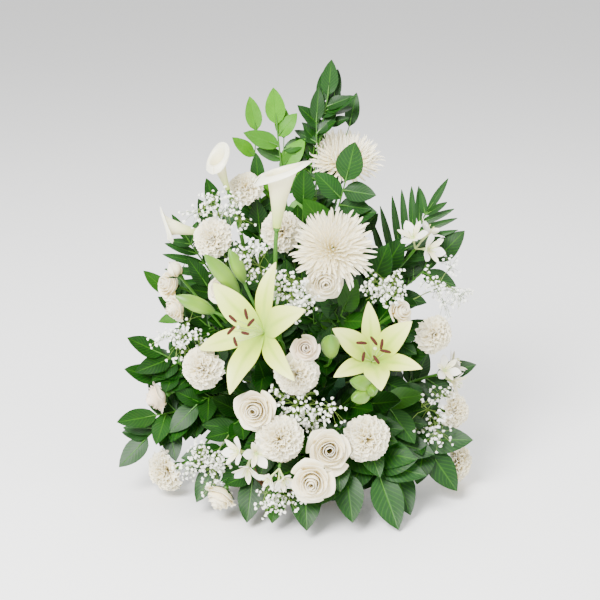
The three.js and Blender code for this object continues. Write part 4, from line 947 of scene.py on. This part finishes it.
def leaves_of(stem, solid):
    """The leaves that the solid has on a stem."""
    leaves = []
    for i, t in enumerate(stem.leaf_at):
        for sign in ([1, -1] if stem.more["kind"] == "frond" else [1 if i % 2 else -1]):
            index = 2 * i + (1 if sign > 0 else 0)
            bend = likeliest(solid, LEAF_BENDS, lambda one: leaf_corners(*leaf_on(stem, t, sign, index, one)))
            leaf = leaf_on(stem, t, sign, index, bend)
            if solid.found(leaf_corners(*leaf)) >= 3:
                leaves.append(leaf)
    return leaves


def leaves_between(stem, blooms):
    """More leaves between those of the solid, where neither a bloom nor the edge of the arrangement is near."""
    leaves = []
    count = 2 * len(stem.leaf_at) + 3
    low, high = (Vector(corner) / MM for corner in CAD_BOX)
    for i in range(count):
        t = stem.leaf_at[0] * 0.86 + (0.97 - stem.leaf_at[0] * 0.86) * (i + 0.5) / count
        bend = (30 * (chance(stem.seed + i) - 0.5), 0.9 * (chance(stem.seed + i + 9) - 0.45), 0.74 + 0.2 * chance(i))
        leaf = leaf_on(stem, t, -1 if i % 2 else 1, 50 + i, bend)
        base, direction, _, length, _ = leaf
        spots = [base + direction * (length * share) for share in (0.3, 0.55, 0.8, 1.05)]
        inside = all(low[k] < spot[k] < high[k] for spot in spots for k in range(3))
        if inside and all(clear_of(blooms, spot, 3.5) for spot in spots):
            leaves.append(leaf)
    return leaves


def clear_of(blooms, spot, room):
    """Whether a place is outside the blooms with some room to spare."""
    near, normal, _, gap = blooms.find_nearest(spot)
    return gap > room and (spot - near).dot(normal) > 0


def one_leaf(model, leaf, thickness, tone, narrow=False, curve=0.14):
    """A leaf with its short stalk."""
    base, direction, normal, length, width = leaf
    surface = blade(base, direction, normal, length, width, curve=curve, keel=1.0 if narrow else 1.5,
                    wave=0.2 if narrow else 1.1, phase=40 * tone + length)
    model.lay(4, 8, surface, thickness, tone=tone)
    model.tube([base, base + direction * (0.1 * length), base + direction * (0.3 * length) - normal * 1.2],
               [1.3, 1.0, 0.5], 6, tone=0.6, slot=1)


def stem_end(model, stem):
    """The calyx, sepals or bud that a stem ends in."""
    kind, top = stem.more["kind"], stem.more["top"]
    forward, end = stem.arrive, stem.end
    if kind == "lily_bud":
        thick = stem.more["thickness"] / 2
        shares = np.linspace(0, 1, 15)
        girth = np.interp(shares, [0, 0.12, 0.3, 0.5, 0.7, 0.88, 1], [0.3, 0.62, 0.92, 1.0, 0.86, 0.5, 0.1]) * thick
        path = np.array([list(end.lerp(top, float(t))) for t in shares])
        grooves = np.tile(1.4 - 1.4 * np.cos(3 * np.arange(18) * math.pi / 9), 15)
        model.tube(path, girth, 18, tone=grooves, slot=2, ribs=3)
        return
    wide = stem.more["wide"]
    path = [end - forward * 1.5, end, end.lerp(top, 0.45), top, top + forward * 1.5]
    model.tube(path, [STEM_RADIUS, STEM_RADIUS * 1.1, wide * 0.86, wide, wide * 0.8], 12, tone=0.55, slot=1)
    sepals = {"rose": (5, 0.34, 0.1), "sprayrose": (5, 0.36, 0.11), "bud": (5, 0.9, 0.34),
              "carnation": (5, 0.14, 0.1), "mum": (12, 0.1, 0.05)}.get(kind)
    if not sepals:
        return
    count, length, width = sepals
    side = forward.cross(FRONT_UP).normalized()
    other = forward.cross(side)
    for i in range(count):
        turn = 2 * math.pi * i / count + stem.seed
        out = side * math.cos(turn) + other * math.sin(turn)
        hug = 0.9 if kind in ("carnation", "bud") else 0.35
        way = (out + forward * hug).normalized()
        normal = forward - out * hug
        surface = blade(top + out * (wide * 0.7), way, normal, stem.more["size"] * length,
                        stem.more["size"] * width, curve=-0.1, widest=0.3, keel=0.4)
        model.lay(4, 6, surface, 0.5, tone=0.4)


def greenery(name, rows, thickness, blooms):
    """The stems and leaves of one bunch, where its solid has them."""
    node_name = f"greenery_{name}"
    solid = Solid(node_name)
    model = Model()
    at, out = BUNCHES[name]
    model.tube([at - out * 36, at, at + out * 7], [4.8, 4.8, 4.4], 12, tone=0.6, slot=1)
    for n, (made, tone) in enumerate(rows):
        bend = likeliest(solid, STEM_BENDS, lambda one: made(one).corners())
        stem = made(bend)
        ends = stem.more["kind"] in ("spray", "frond")
        shares = np.linspace(0, 1, 18)
        stout = 1.5 if stem.more["kind"] == "calla" else 1
        radii = np.interp(shares, [0, 0.5, 1], [STEM_RADIUS, STEM_RADIUS * 0.85 * stout, 1.1 if ends else STEM_RADIUS * stout])
        model.tube([stem.line.at(float(t)) for t in shares], radii, 8, tone=0.5, slot=1)
        if not ends:
            stem_end(model, stem)
            continue
        frond = stem.more["kind"] == "frond"
        length, width = stem.more["leaf"]
        last = (stem.end, stem.arrive, stem.face_out, (0.7 if frond else 1) * length, width)
        one_leaf(model, last, thickness, tone + 0.1 * chance(stem.seed), frond, curve=0.03)
        for k, leaf in enumerate(leaves_of(stem, solid)):
            one_leaf(model, leaf, thickness, np.clip(tone + 0.3 * (chance(stem.seed + k) - 0.5), 0, 1), frond)
        if not frond:
            for k, leaf in enumerate(leaves_between(stem, blooms)):
                one_leaf(model, leaf, thickness, np.clip(tone + 0.3 * chance(stem.seed + 3 * k) - 0.25, 0, 1))
    return model


def filler(model, made, thickness, tone, blooms):
    """A thin leafy stem that only the looks have, bent to where it meets the fewest blooms."""
    def blocked(bend):
        line = made(bend).line
        return sum(not clear_of(blooms, line.at(t), 3) for t in np.linspace(0.1, 1, 16))

    stem = made(min(STEM_BENDS, key=blocked))
    model.tube([stem.line.at(t) for t in np.linspace(0, 1, 12)], np.linspace(1.6, 0.8, 12), 6, tone=0.4, slot=1)
    leaves = leaves_between(stem, blooms)
    length, width = stem.more["leaf"]
    if clear_of(blooms, stem.end + stem.arrive * (0.8 * length), 4) and clear_of(blooms, stem.end, 4):
        leaves.append((stem.end, stem.arrive, stem.face_out, length, width))
    for k, leaf in enumerate(leaves):
        one_leaf(model, leaf, thickness, np.clip(tone + 0.3 * chance(stem.seed + 3 * k) - 0.15, 0, 1))


# Gypsophila

FLORET_TURNS = 9


def floret():
    """One double floret, modelled once: two rings of petal tips and the valley between them, in unit size."""
    turns = np.arange(FLORET_TURNS) * 2 * math.pi / FLORET_TURNS
    tips = np.where(np.arange(FLORET_TURNS) % 3 == 0, 0.72, 1.0)
    rings = [polar(1.0 * tips, turns, 0.42 + 0.16 * (tips < 1)), polar(0.45, turns + 0.2, 0.5),
             polar(0.62 * np.roll(tips, 1), turns + 0.35, 0.86)]
    points = np.concatenate([[[0, 0, -0.25]], *rings, [[0, 0, 0.72]]])
    last, faces = len(points) - 1, []
    for i in range(FLORET_TURNS):
        j = (i + 1) % FLORET_TURNS
        faces.append((0, 1 + j, 1 + i))
        faces.append((last, last - FLORET_TURNS + i, last - FLORET_TURNS + j))
        for row in range(2):
            low, high = 1 + row * FLORET_TURNS, 1 + (row + 1) * FLORET_TURNS
            faces.append((low + i, low + j, high + j, high + i))
    return points, faces, np.stack([np.zeros(len(points)) + 0.5, np.linspace(0, 1, len(points))], 1)


def cloud(name, row, seed, florets, blooms):
    """A stem of gypsophila that forks again and again into twigs, each with a floret on its tip."""
    at, out, place, half_width, half_height = row
    at, way, centre = Vector(at), Vector(out).normalized(), seen(*place)
    reach = (centre - at).length

    def line_for(bend):
        push = Vector((bend[0], 0, bend[1]))
        return Line(at - way * 24, at + way * (reach * 0.25), at + way * (reach * 0.45) + push, centre)

    def corners(bend):
        line, toward = line_for(bend), Vector((1, -0.4, 0)).normalized()
        return [p for t in (0.2, 0.5, 0.68) for p in ring_at(line.at(t), line.way(t), toward, SPRIG_RADIUS)]

    solid = Solid(name)
    line = line_for(likeliest(solid, STEM_BENDS, corners))
    model = Model()
    model.tube([line.at(t) for t in np.linspace(0, 0.99, 16)], np.linspace(1.2, 0.8, 16), 6, tone=0.5, slot=1)
    hubs = []
    for i in range(24):
        turn = i * TURN + seed
        ring = math.sqrt((i % 8 + 0.7) / 8)
        depth = (chance(seed + i) - 0.65) * half_height * 1.2
        end = centre + Vector((math.cos(turn) * ring * half_width, depth, math.sin(turn) * ring * half_height))
        if solid.found([end]):
            hubs.append(end)
    points, faces, petal = floret()
    placed_at = []
    for k, hub in enumerate(hubs):
        share = 0.68 + 0.3 * min(range(4), key=lambda s: (line.at(0.68 + 0.1 * s) - hub).length) / 3
        start = line.at(share)
        bow = (hub - start).length * 0.12
        knee = start.lerp(hub, 0.55) + Vector((0, 0, bow))
        joint = start.lerp(hub, 0.8) + Vector((0, 0, 0.4 * bow))
        model.tube([start, knee, joint, hub], [0.7, 0.55, 0.45, 0.35], 5, tone=0.6, slot=1)
        for i in range(florets):
            n = seed * 7 + 61 * k + 3.3 * i
            around, up = 2 * math.pi * chance(n), 2 * chance(n + 1) - 1
            flat = math.sqrt(max(0, 1 - up * up))
            direction = Vector((flat * math.cos(around), flat * math.sin(around) * 0.8 - 0.25, up))
            spot = hub + direction * (4 + 19 * chance(n + 2) ** 0.7) if i else hub.copy()
            if any((spot - other).length < 3.8 for other in placed_at):
                continue
            if not clear_of(blooms, spot, 3.5):
                continue
            placed_at.append(spot)
            radius = 2.1 + 0.9 * chance(n + 3)
            face = (direction + Vector((0, -0.7, 0.5))).normalized()
            matrix = frame_at(spot - face * (0.4 * radius), face, 360 * chance(n + 4))
            model.add(placed(points * radius, matrix), faces, petal, chance(n + 5), 0)
            if i:
                fork = joint.lerp(hub, chance(n + 6))
                bend_at = fork.lerp(spot, 0.5) + Vector((0, 0, 1.5))
                model.tube([fork, bend_at, spot - face * (0.5 * radius)], [0.32, 0.28, 0.3], 3, tone=0.6, slot=1)
    return model


# The basket and its liner

STAKES = 24
WEAVERS = 17


def wall_radius(z):
    return BASKET_BASE + (BASKET_RIM - BASKET_BASE) * z / BASKET_HEIGHT


def basket_weave(model, rod):
    """Stakes, rods woven in and out of them, a foot, a base and a twisted rim."""
    turns = np.linspace(0, 2 * math.pi, STAKES * 6 + 1)
    for row in range(WEAVERS):
        z = 5.5 + row * (BASKET_HEIGHT - 13) / (WEAVERS - 1)
        out = 1.5 * np.cos(STAKES / 2 * turns + math.pi * (row % 2)) * 1.05
        radius = wall_radius(z) - 2.6 + out
        path = polar(radius, turns, z + 0.5 * np.sin(7 * turns + row))
        model.tube(path, rod * (0.94 + 0.12 * chance(row)), 6, tone=chance(row + 3))
    for i in range(STAKES):
        turn = 2 * math.pi * i / STAKES
        path = [Vector((wall_radius(z) - 2.6, 0, z)) for z in np.linspace(3, BASKET_HEIGHT - 6, 8)]
        path = [Vector((p.x * math.cos(turn), p.x * math.sin(turn), p.z)) for p in path]
        model.tube(path, 1.7, 6, tone=chance(i + 40))
    for strand in range(3):
        fine = np.linspace(0, 2 * math.pi, STAKES * 16 + 1)
        twist = 22 * fine + 2 * math.pi * strand / 3
        model.tube(polar(BASKET_RIM - 4.4 + 1.7 * np.cos(twist), fine, BASKET_HEIGHT - 4.2 + 1.7 * np.sin(twist)), 2.2,
                   6, tone=0.3 + 0.2 * strand)
        foot = 22 * fine + 2 * math.pi * strand / 3
        model.tube(polar(BASKET_BASE - 3 + 1.0 * np.cos(foot), fine, 3.0 + 1.0 * np.sin(foot)), 1.7, 6,
                   tone=0.2 + 0.2 * strand)
    rings = [(0, 1.5)]
    for k in range(1, 31):
        rings.append((k * 3.0, 1.3 if k % 2 else 0.4))
    rings += [(BASKET_BASE - 3, 1.2), (BASKET_BASE - 3, 4.6), (0, 4.6)]
    lathe(model, rings, 72, tone=0.4)


def liner_shell(model):
    """A thin moulded bowl with a rolled lip."""
    slope = (BASKET_RIM - BASKET_BASE) / BASKET_HEIGHT
    floor = BASKET_WALL + 0.35

    def outer(z):
        return BASKET_BASE - BASKET_WALL + slope * (z - BASKET_WALL) - 1.5

    wall = LINER_WALL
    profile = [(0, floor), (outer(floor) - 3, floor), (outer(floor) - 0.8, floor + 0.8), (outer(floor + 3), floor + 3),
               (outer(LINER_TOP - 2), LINER_TOP - 2), (outer(LINER_TOP) - 0.2, LINER_TOP - 0.4),
               (outer(LINER_TOP) - wall * 0.5, LINER_TOP), (outer(LINER_TOP) - wall, LINER_TOP - 0.6),
               (outer(floor + 3) - wall, floor + 3), (outer(floor) - wall - 2, floor + wall), (0, floor + wall)]
    lathe(model, profile, 96)


# What a user would change

class FlowerLooks(bpy.types.PropertyGroup):
    """Colours and sizes of the arrangement."""

    white: bpy.props.FloatVectorProperty(
        name="White petals", description="Petals of the carnations and chrysanthemums", subtype="COLOR",
        min=0, max=1, default=linear("#FFF4CE"))
    cream: bpy.props.FloatVectorProperty(
        name="Cream petals", description="Petals of the roses", subtype="COLOR",
        min=0, max=1, default=linear("#FFF0C2"))
    lily: bpy.props.FloatVectorProperty(
        name="Lily tepals", description="Pale yellow-green of the lilies", subtype="COLOR",
        min=0, max=1, default=linear("#C6D83C"))
    leaf: bpy.props.FloatVectorProperty(
        name="Leaves", description="Green of most leaves", subtype="COLOR",
        min=0, max=1, default=linear("#0B4000"))
    willow: bpy.props.FloatVectorProperty(
        name="Wicker", description="Brown of the basket's rods", subtype="COLOR",
        min=0, max=1, default=linear("#9A6C3C"))
    ruffle: bpy.props.FloatProperty(
        name="Ruffle", description="How strongly the carnations' petals are ruffled", subtype="FACTOR",
        min=0, max=2, default=1)
    rose_petals: bpy.props.IntProperty(
        name="Rose petals", description="Petals in a rose", min=8, max=60, default=19)
    florets: bpy.props.IntProperty(
        name="Florets", description="Gypsophila florets round each fork", min=1, max=60, default=38)
    leaf_thickness: bpy.props.FloatProperty(
        name="Leaf thickness", description="Thickness of a leaf's blade", subtype="DISTANCE", unit="LENGTH",
        default=0.7 * MM)
    rod: bpy.props.FloatProperty(
        name="Wicker rod", description="Radius of a rod of the basket", subtype="DISTANCE", unit="LENGTH",
        default=2.2 * MM)


def bloom_rows(*kinds):
    """The blooms of some kinds: name, row, seed and place."""
    for i, (name, row) in enumerate(BLOOMS.items()):
        if row[0] in kinds:
            roll = row[5] if len(row) > 5 else 0
            yield name, row, i * 31, frame_at(foot_of(row), facing(*row[3]), roll)


class FLOWERS_OT_holder(bpy.types.Operator):
    """Makes the wicker basket and its liner, and gives the foam its finish"""

    bl_idname = "flowers.holder"
    bl_label = "Basket, liner and foam"
    bl_options = {"REGISTER", "UNDO"}

    def execute(self, context):
        looks = context.scene.flower_looks
        # Buff willow, stripped and varnished: a fine grain along each rod and a low gloss
        willow = grained_finish("Varnished willow", looks.willow, linear("#4F3219"), 0.45, 6.0, (3, 60, 1), 0.3,
                                Coat_Weight=0.2)
        model = Model()
        basket_weave(model, looks.rod / MM)
        model.piece("wicker_basket", "basket", "wicker", [willow])
        # Moulded polypropylene: dark green, satin, with the slight unevenness of a thin moulding
        plastic = cell_finish("Moulded polypropylene", linear("#2B3B26"), linear("#24331F"), 0.38, 6.0, 0.05)
        model = Model()
        liner_shell(model)
        model.piece("basket_liner", "liner", "liner_plastic", [plastic], sharp=35)
        # Phenolic floral foam, soaked: tiny open cells that drink the light
        foam = cell_finish("Phenolic floral foam", linear("#3F7A4B"), linear("#1F4B2C"), 0.95, 1.6, 0.6)
        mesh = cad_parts["foam"].data
        mesh.materials.clear()
        mesh.materials.append(foam)
        return {"FINISHED"}


class FLOWERS_OT_carnations(bpy.types.Operator):
    """Makes the carnations"""

    bl_idname = "flowers.carnations"
    bl_label = "Carnations"
    bl_options = {"REGISTER", "UNDO"}

    def execute(self, context):
        looks = context.scene.flower_looks
        # Carnation petals: matt and papery, warm green-white where they crowd together
        petal = petal_finish("Carnation petal", linear("#EED878"), looks.white, linear("#FEF9E4"), veins=18,
                             roughness=0.6)
        for name, row, seed, place in bloom_rows("carnation"):
            model = Model()
            carnation(model, place, row[2], seed, looks.ruffle)
            model.piece(f"{name}_petals", name, "white_petal", [petal])
        return {"FINISHED"}


class FLOWERS_OT_roses(bpy.types.Operator):
    """Makes the roses, the spray roses and the rosebud"""

    bl_idname = "flowers.roses"
    bl_label = "Roses"
    bl_options = {"REGISTER", "UNDO"}

    def execute(self, context):
        looks = context.scene.flower_looks
        # Rose petals: velvety, ivory at the heart with faintly blushed rims
        petal = petal_finish("Rose petal", linear("#EDD468"), looks.cream, linear("#FDF6E0"), veins=12, depth_mm=0.15)
        blush = petal_finish("Blushed rose petal", linear("#EEDDA8"), linear("#FBEBCC"), linear("#FAE8D2"), veins=12,
                             depth_mm=0.15)
        for name, row, seed, place in bloom_rows("rose", "sprayrose", "bud"):
            model = Model()
            if row[0] == "bud":
                bud_of_rose(model, place, row[2], seed)
            elif row[0] == "rose":
                rose(model, place, row[2], seed, looks.rose_petals)
            else:
                rose(model, place, row[2], seed, max(8, looks.rose_petals - 4), 0.7)
            finishes = [blush if name in ("spray_rose_1", "rose_5") else petal]
            model.piece(f"{name}_petals", name, "bud_petal" if row[0] == "bud" else "white_petal", finishes)
        return {"FINISHED"}


class FLOWERS_OT_chrysanthemums(bpy.types.Operator):
    """Makes the chrysanthemums"""

    bl_idname = "flowers.chrysanthemums"
    bl_label = "Chrysanthemums"
    bl_options = {"REGISTER", "UNDO"}

    def execute(self, context):
        looks = context.scene.flower_looks
        # Chrysanthemum petals: cool white, faintly waxy, green-yellow in the heart
        petal = petal_finish("Chrysanthemum petal", linear("#E6D25C"), looks.white, linear("#FFFDF4"), veins=8,
                             roughness=0.48, rim_from=0.6)
        for name, row, seed, place in bloom_rows("mum"):
            model = Model()
            mum(model, place, row[2], seed)
            model.piece(f"{name}_petals", name, "white_petal", [petal])
        return {"FINISHED"}


class FLOWERS_OT_lilies(bpy.types.Operator):
    """Makes the lilies, the alstroemerias and the calla lilies"""

    bl_idname = "flowers.lilies"
    bl_label = "Lilies"
    bl_options = {"REGISTER", "UNDO"}

    def execute(self, context):
        looks = context.scene.flower_looks
        # Lily tepals: thick and waxy, greener towards the throat and down the rib
        tepal = petal_finish("Lily tepal", linear("#86B21A"), looks.lily, linear("#ECEB9A"), veins=34, depth_mm=0.4,
                             roughness=0.42, rib=1.0)
        # Filaments and style: smooth, pale green and moist
        style, _, _ = finish("Lily filament", linear("#C3D488"), 0.35, Subsurface_Weight=0.2, Subsurface_Scale=0.002)
        # Ripe pollen: rust-brown grains that scatter all the light
        pollen = cell_finish("Lily pollen", linear("#4E1804"), linear("#2A0C02"), 0.95, 0.8, 0.3)
        for name, row, seed, place in bloom_rows("lily"):
            model = Model()
            lily(model, place, row[2], seed, row[6])
            model.piece(f"{name}_bloom", name, "lily_petal", [tepal, style, pollen])
        spathe = petal_finish("Calla spathe", linear("#A3C02C"), linear("#FBF1C8"), linear("#FEF9E6"), veins=60,
                              depth_mm=0.12, roughness=0.38, soft=0.3, rim_from=0.85)
        # Spadix: crowded yellow florets, each a dot under a millimetre
        spadix = cell_finish("Calla spadix", linear("#E8C23A"), linear("#B98A1B"), 0.6, 1.1, 0.5)
        for name, row, seed, place in bloom_rows("calla"):
            model = Model()
            calla(model, place, row[2], seed)
            model.piece(f"{name}_bloom", name, "calla_spathe", [spathe, spadix])
        tepal = petal_finish("Alstroemeria tepal", linear("#DDE0A8"), linear("#F4F0E4"), linear("#F8F2EA"), veins=20)
        flecked = petal_finish("Flecked alstroemeria tepal", linear("#EADF90"), linear("#F2ECC8"), linear("#F6F0E2"),
                               veins=20)
        for name, row, seed, place in bloom_rows("alstroemeria"):
            model = Model()
            alstroemeria(model, place, row[2], seed)
            model.piece(f"{name}_bloom", name, "white_petal", [tepal, style, flecked])
        return {"FINISHED"}


class FLOWERS_OT_gypsophila(bpy.types.Operator):
    """Makes the clouds of gypsophila"""

    bl_idname = "flowers.gypsophila"
    bl_label = "Gypsophila"
    bl_options = {"REGISTER", "UNDO"}

    def execute(self, context):
        looks = context.scene.flower_looks
        # Gypsophila petals: thin and chalky, grey-green only where they join
        petal = petal_finish("Gypsophila petal", linear("#CFD6AE"), linear("#F5F4EC"), linear("#FCFBF6"), veins=5,
                             depth_mm=0.1, roughness=0.65, soft=0.1, rim_from=0.3)
        # Its twigs: thin, matt and grey-green
        twig = grained_finish("Gypsophila twig", linear("#7C9A3A"), linear("#44601E"), 0.6, 4.0, (2, 20, 1), 0.05)
        blooms = heads_surface()
        for i, (name, row) in enumerate(GYPSOPHILA.items()):
            model = cloud(name, row, 11 * i, looks.florets, blooms)
            model.piece(f"{name}_cloud", name, "gypsophila", [petal, twig], sharp=80)
        return {"FINISHED"}


class FLOWERS_OT_greenery(bpy.types.Operator):
    """Makes the stems, the calyxes, the lily buds and the leaves of each bunch"""

    bl_idname = "flowers.greenery"
    bl_label = "Greenery"
    bl_options = {"REGISTER", "UNDO"}

    def execute(self, context):
        looks = context.scene.flower_looks
        # Ruscus and salal leaves: leathery, dark, with a waxy gloss and paler veins
        leaf = leaf_finish("Waxy leaf", linear("#042402"), looks.leaf, linear("#55A000"), 0.46)
        # Cut stems: smooth and fibrous, lighter than the leaves
        stem = grained_finish("Green stem", linear("#4E8A1E"), linear("#1F4A0C"), 0.45, 5.0, (4, 16, 1), 0.1)
        # Lily buds: waxy, yellow-green between pale ribs
        bud = petal_finish("Lily bud", linear("#1E5800"), linear("#76A000"), linear("#3F7600"), veins=20,
                           roughness=0.4, rim_from=0.8)
        blooms = heads_surface()
        rows = {name: [] for name in BUNCHES}
        fillers = {name: [] for name in BUNCHES}
        for i, (bunch, tip, length, width) in enumerate(FILLERS):
            made = spray_stem((bunch, tip, 5, length, width, 0.62, 52), 3000 + i * 37)
            fillers[bunch].append((made, 0.75 if -70 < tip[0] < -20 and tip[1] > 250 else 0.1 + 0.35 * chance(i + 5)))
        for i, row in enumerate(BLOOMS.values()):
            rows[row[4]].append((bloom_stem(row, i * 13), 0.5))
        for i, row in enumerate(LILY_BUDS):
            rows[row[0]].append((bud_stem(row, 500 + i * 17), 0.5))
        for i, row in enumerate(SPRAYS):
            tone = 0.85 if row[1] in LIME_TIPS else 0.25 + 0.35 * chance(i)
            rows[row[0]].append((spray_stem(row, 700 + i * 29), tone))
        for i, row in enumerate(FRONDS):
            rows[row[0]].append((frond_stem(row, 1700 + i * 23), 0.45))
        for name, stems in rows.items():
            model = greenery(name, stems, looks.leaf_thickness / MM, blooms)
            for made, tone in fillers[name]:
                filler(model, made, looks.leaf_thickness / MM, tone, blooms)
            model.piece(f"{name}_leaves", f"greenery_{name}", "leaf", [leaf, stem, bud])
        return {"FINISHED"}


class FLOWERS_OT_stage(bpy.types.Operator):
    """Makes the pale floor, the soft lamps and the camera"""

    bl_idname = "flowers.stage"
    bl_label = "Stage"
    bl_options = {"REGISTER", "UNDO"}

    def execute(self, context):
        bpy.ops.object.select_all(action="DESELECT")
        bpy.ops.mesh.primitive_circle_add(vertices=96, radius=16, fill_type="NGON", location=(0, 0, -0.0005))
        floor = bpy.context.object
        floor.name = "floor"
        # Matt white paper, with a tooth too fine to see
        paper, tree, shader = finish("Matt white paper", linear("#FBFBFA"), 0.9)
        place = node(tree, "ShaderNodeTexCoord").outputs["Object"]
        tooth = node(tree, NOISE, {"Vector": place, "Scale": 900.0})
        white = opaque(linear("#FBFBFA"))
        dress(tree, shader, tooth, white, white, tooth, 0.05, 0.1)
        floor.data.materials.append(paper)
        target = Vector((0, 0, LOOK_HEIGHT * MM))
        lamps = [((-1.0, -1.9, 2.1), 1.2, 250.0), ((1.9, -1.2, 1.2), 1.6, 30.0), ((0.2, 0.9, 2.4), 1.6, 40.0)]
        for place, size, power in lamps:
            bpy.ops.object.light_add(type="AREA", location=place)
            lamp = bpy.context.object
            lamp.rotation_euler = (target - lamp.location).to_track_quat("-Z", "Y").to_euler()
            lamp.data.size = size
            lamp.data.energy = power
        world = bpy.data.worlds.new("Soft white room")
        world.use_nodes = True
        world.node_tree.nodes["Background"].inputs["Color"].default_value = opaque(linear("#FFFFFF"))
        world.node_tree.nodes["Background"].inputs["Strength"].default_value = 1.05
        bpy.context.scene.world = world
        away = EYE_DISTANCE * MM
        eye = target + Vector((0, -away * math.cos(VIEW_TILT), away * math.sin(VIEW_TILT)))
        bpy.ops.object.camera_add(location=eye)
        camera = bpy.context.object
        camera.rotation_euler = (target - eye).to_track_quat("-Z", "Y").to_euler()
        camera.data.sensor_width = 36
        camera.data.lens = 96
        bpy.context.scene.camera = camera
        return {"FINISHED"}


class FLOWERS_PT_panel(bpy.types.Panel):
    """Lists the arrangement's sizes, colours and pieces"""

    bl_idname = "FLOWERS_PT_panel"
    bl_label = "Flower arrangement"
    bl_space_type = "VIEW_3D"
    bl_region_type = "UI"
    bl_category = "Flowers"

    def draw(self, context):
        for name in FlowerLooks.__annotations__:
            self.layout.prop(context.scene.flower_looks, name)
        for operator in OPERATORS:
            self.layout.operator(operator.bl_idname)


OPERATORS = [FLOWERS_OT_holder, FLOWERS_OT_carnations, FLOWERS_OT_roses, FLOWERS_OT_chrysanthemums,
             FLOWERS_OT_lilies, FLOWERS_OT_gypsophila, FLOWERS_OT_greenery, FLOWERS_OT_stage]


def register():
    for made in (FlowerLooks, *OPERATORS, FLOWERS_PT_panel):
        bpy.utils.register_class(made)
    bpy.types.Scene.flower_looks = bpy.props.PointerProperty(type=FlowerLooks)


def unregister():
    del bpy.types.Scene.flower_looks
    for made in (FLOWERS_PT_panel, *reversed(OPERATORS), FlowerLooks):
        bpy.utils.unregister_class(made)


def main():
    register()
    bpy.ops.flowers.stage()
    bpy.ops.flowers.holder()
    bpy.ops.flowers.carnations()
    bpy.ops.flowers.roses()
    bpy.ops.flowers.chrysanthemums()
    bpy.ops.flowers.lilies()
    bpy.ops.flowers.gypsophila()
    bpy.ops.flowers.greenery()


if __name__ == "__main__":
    main()
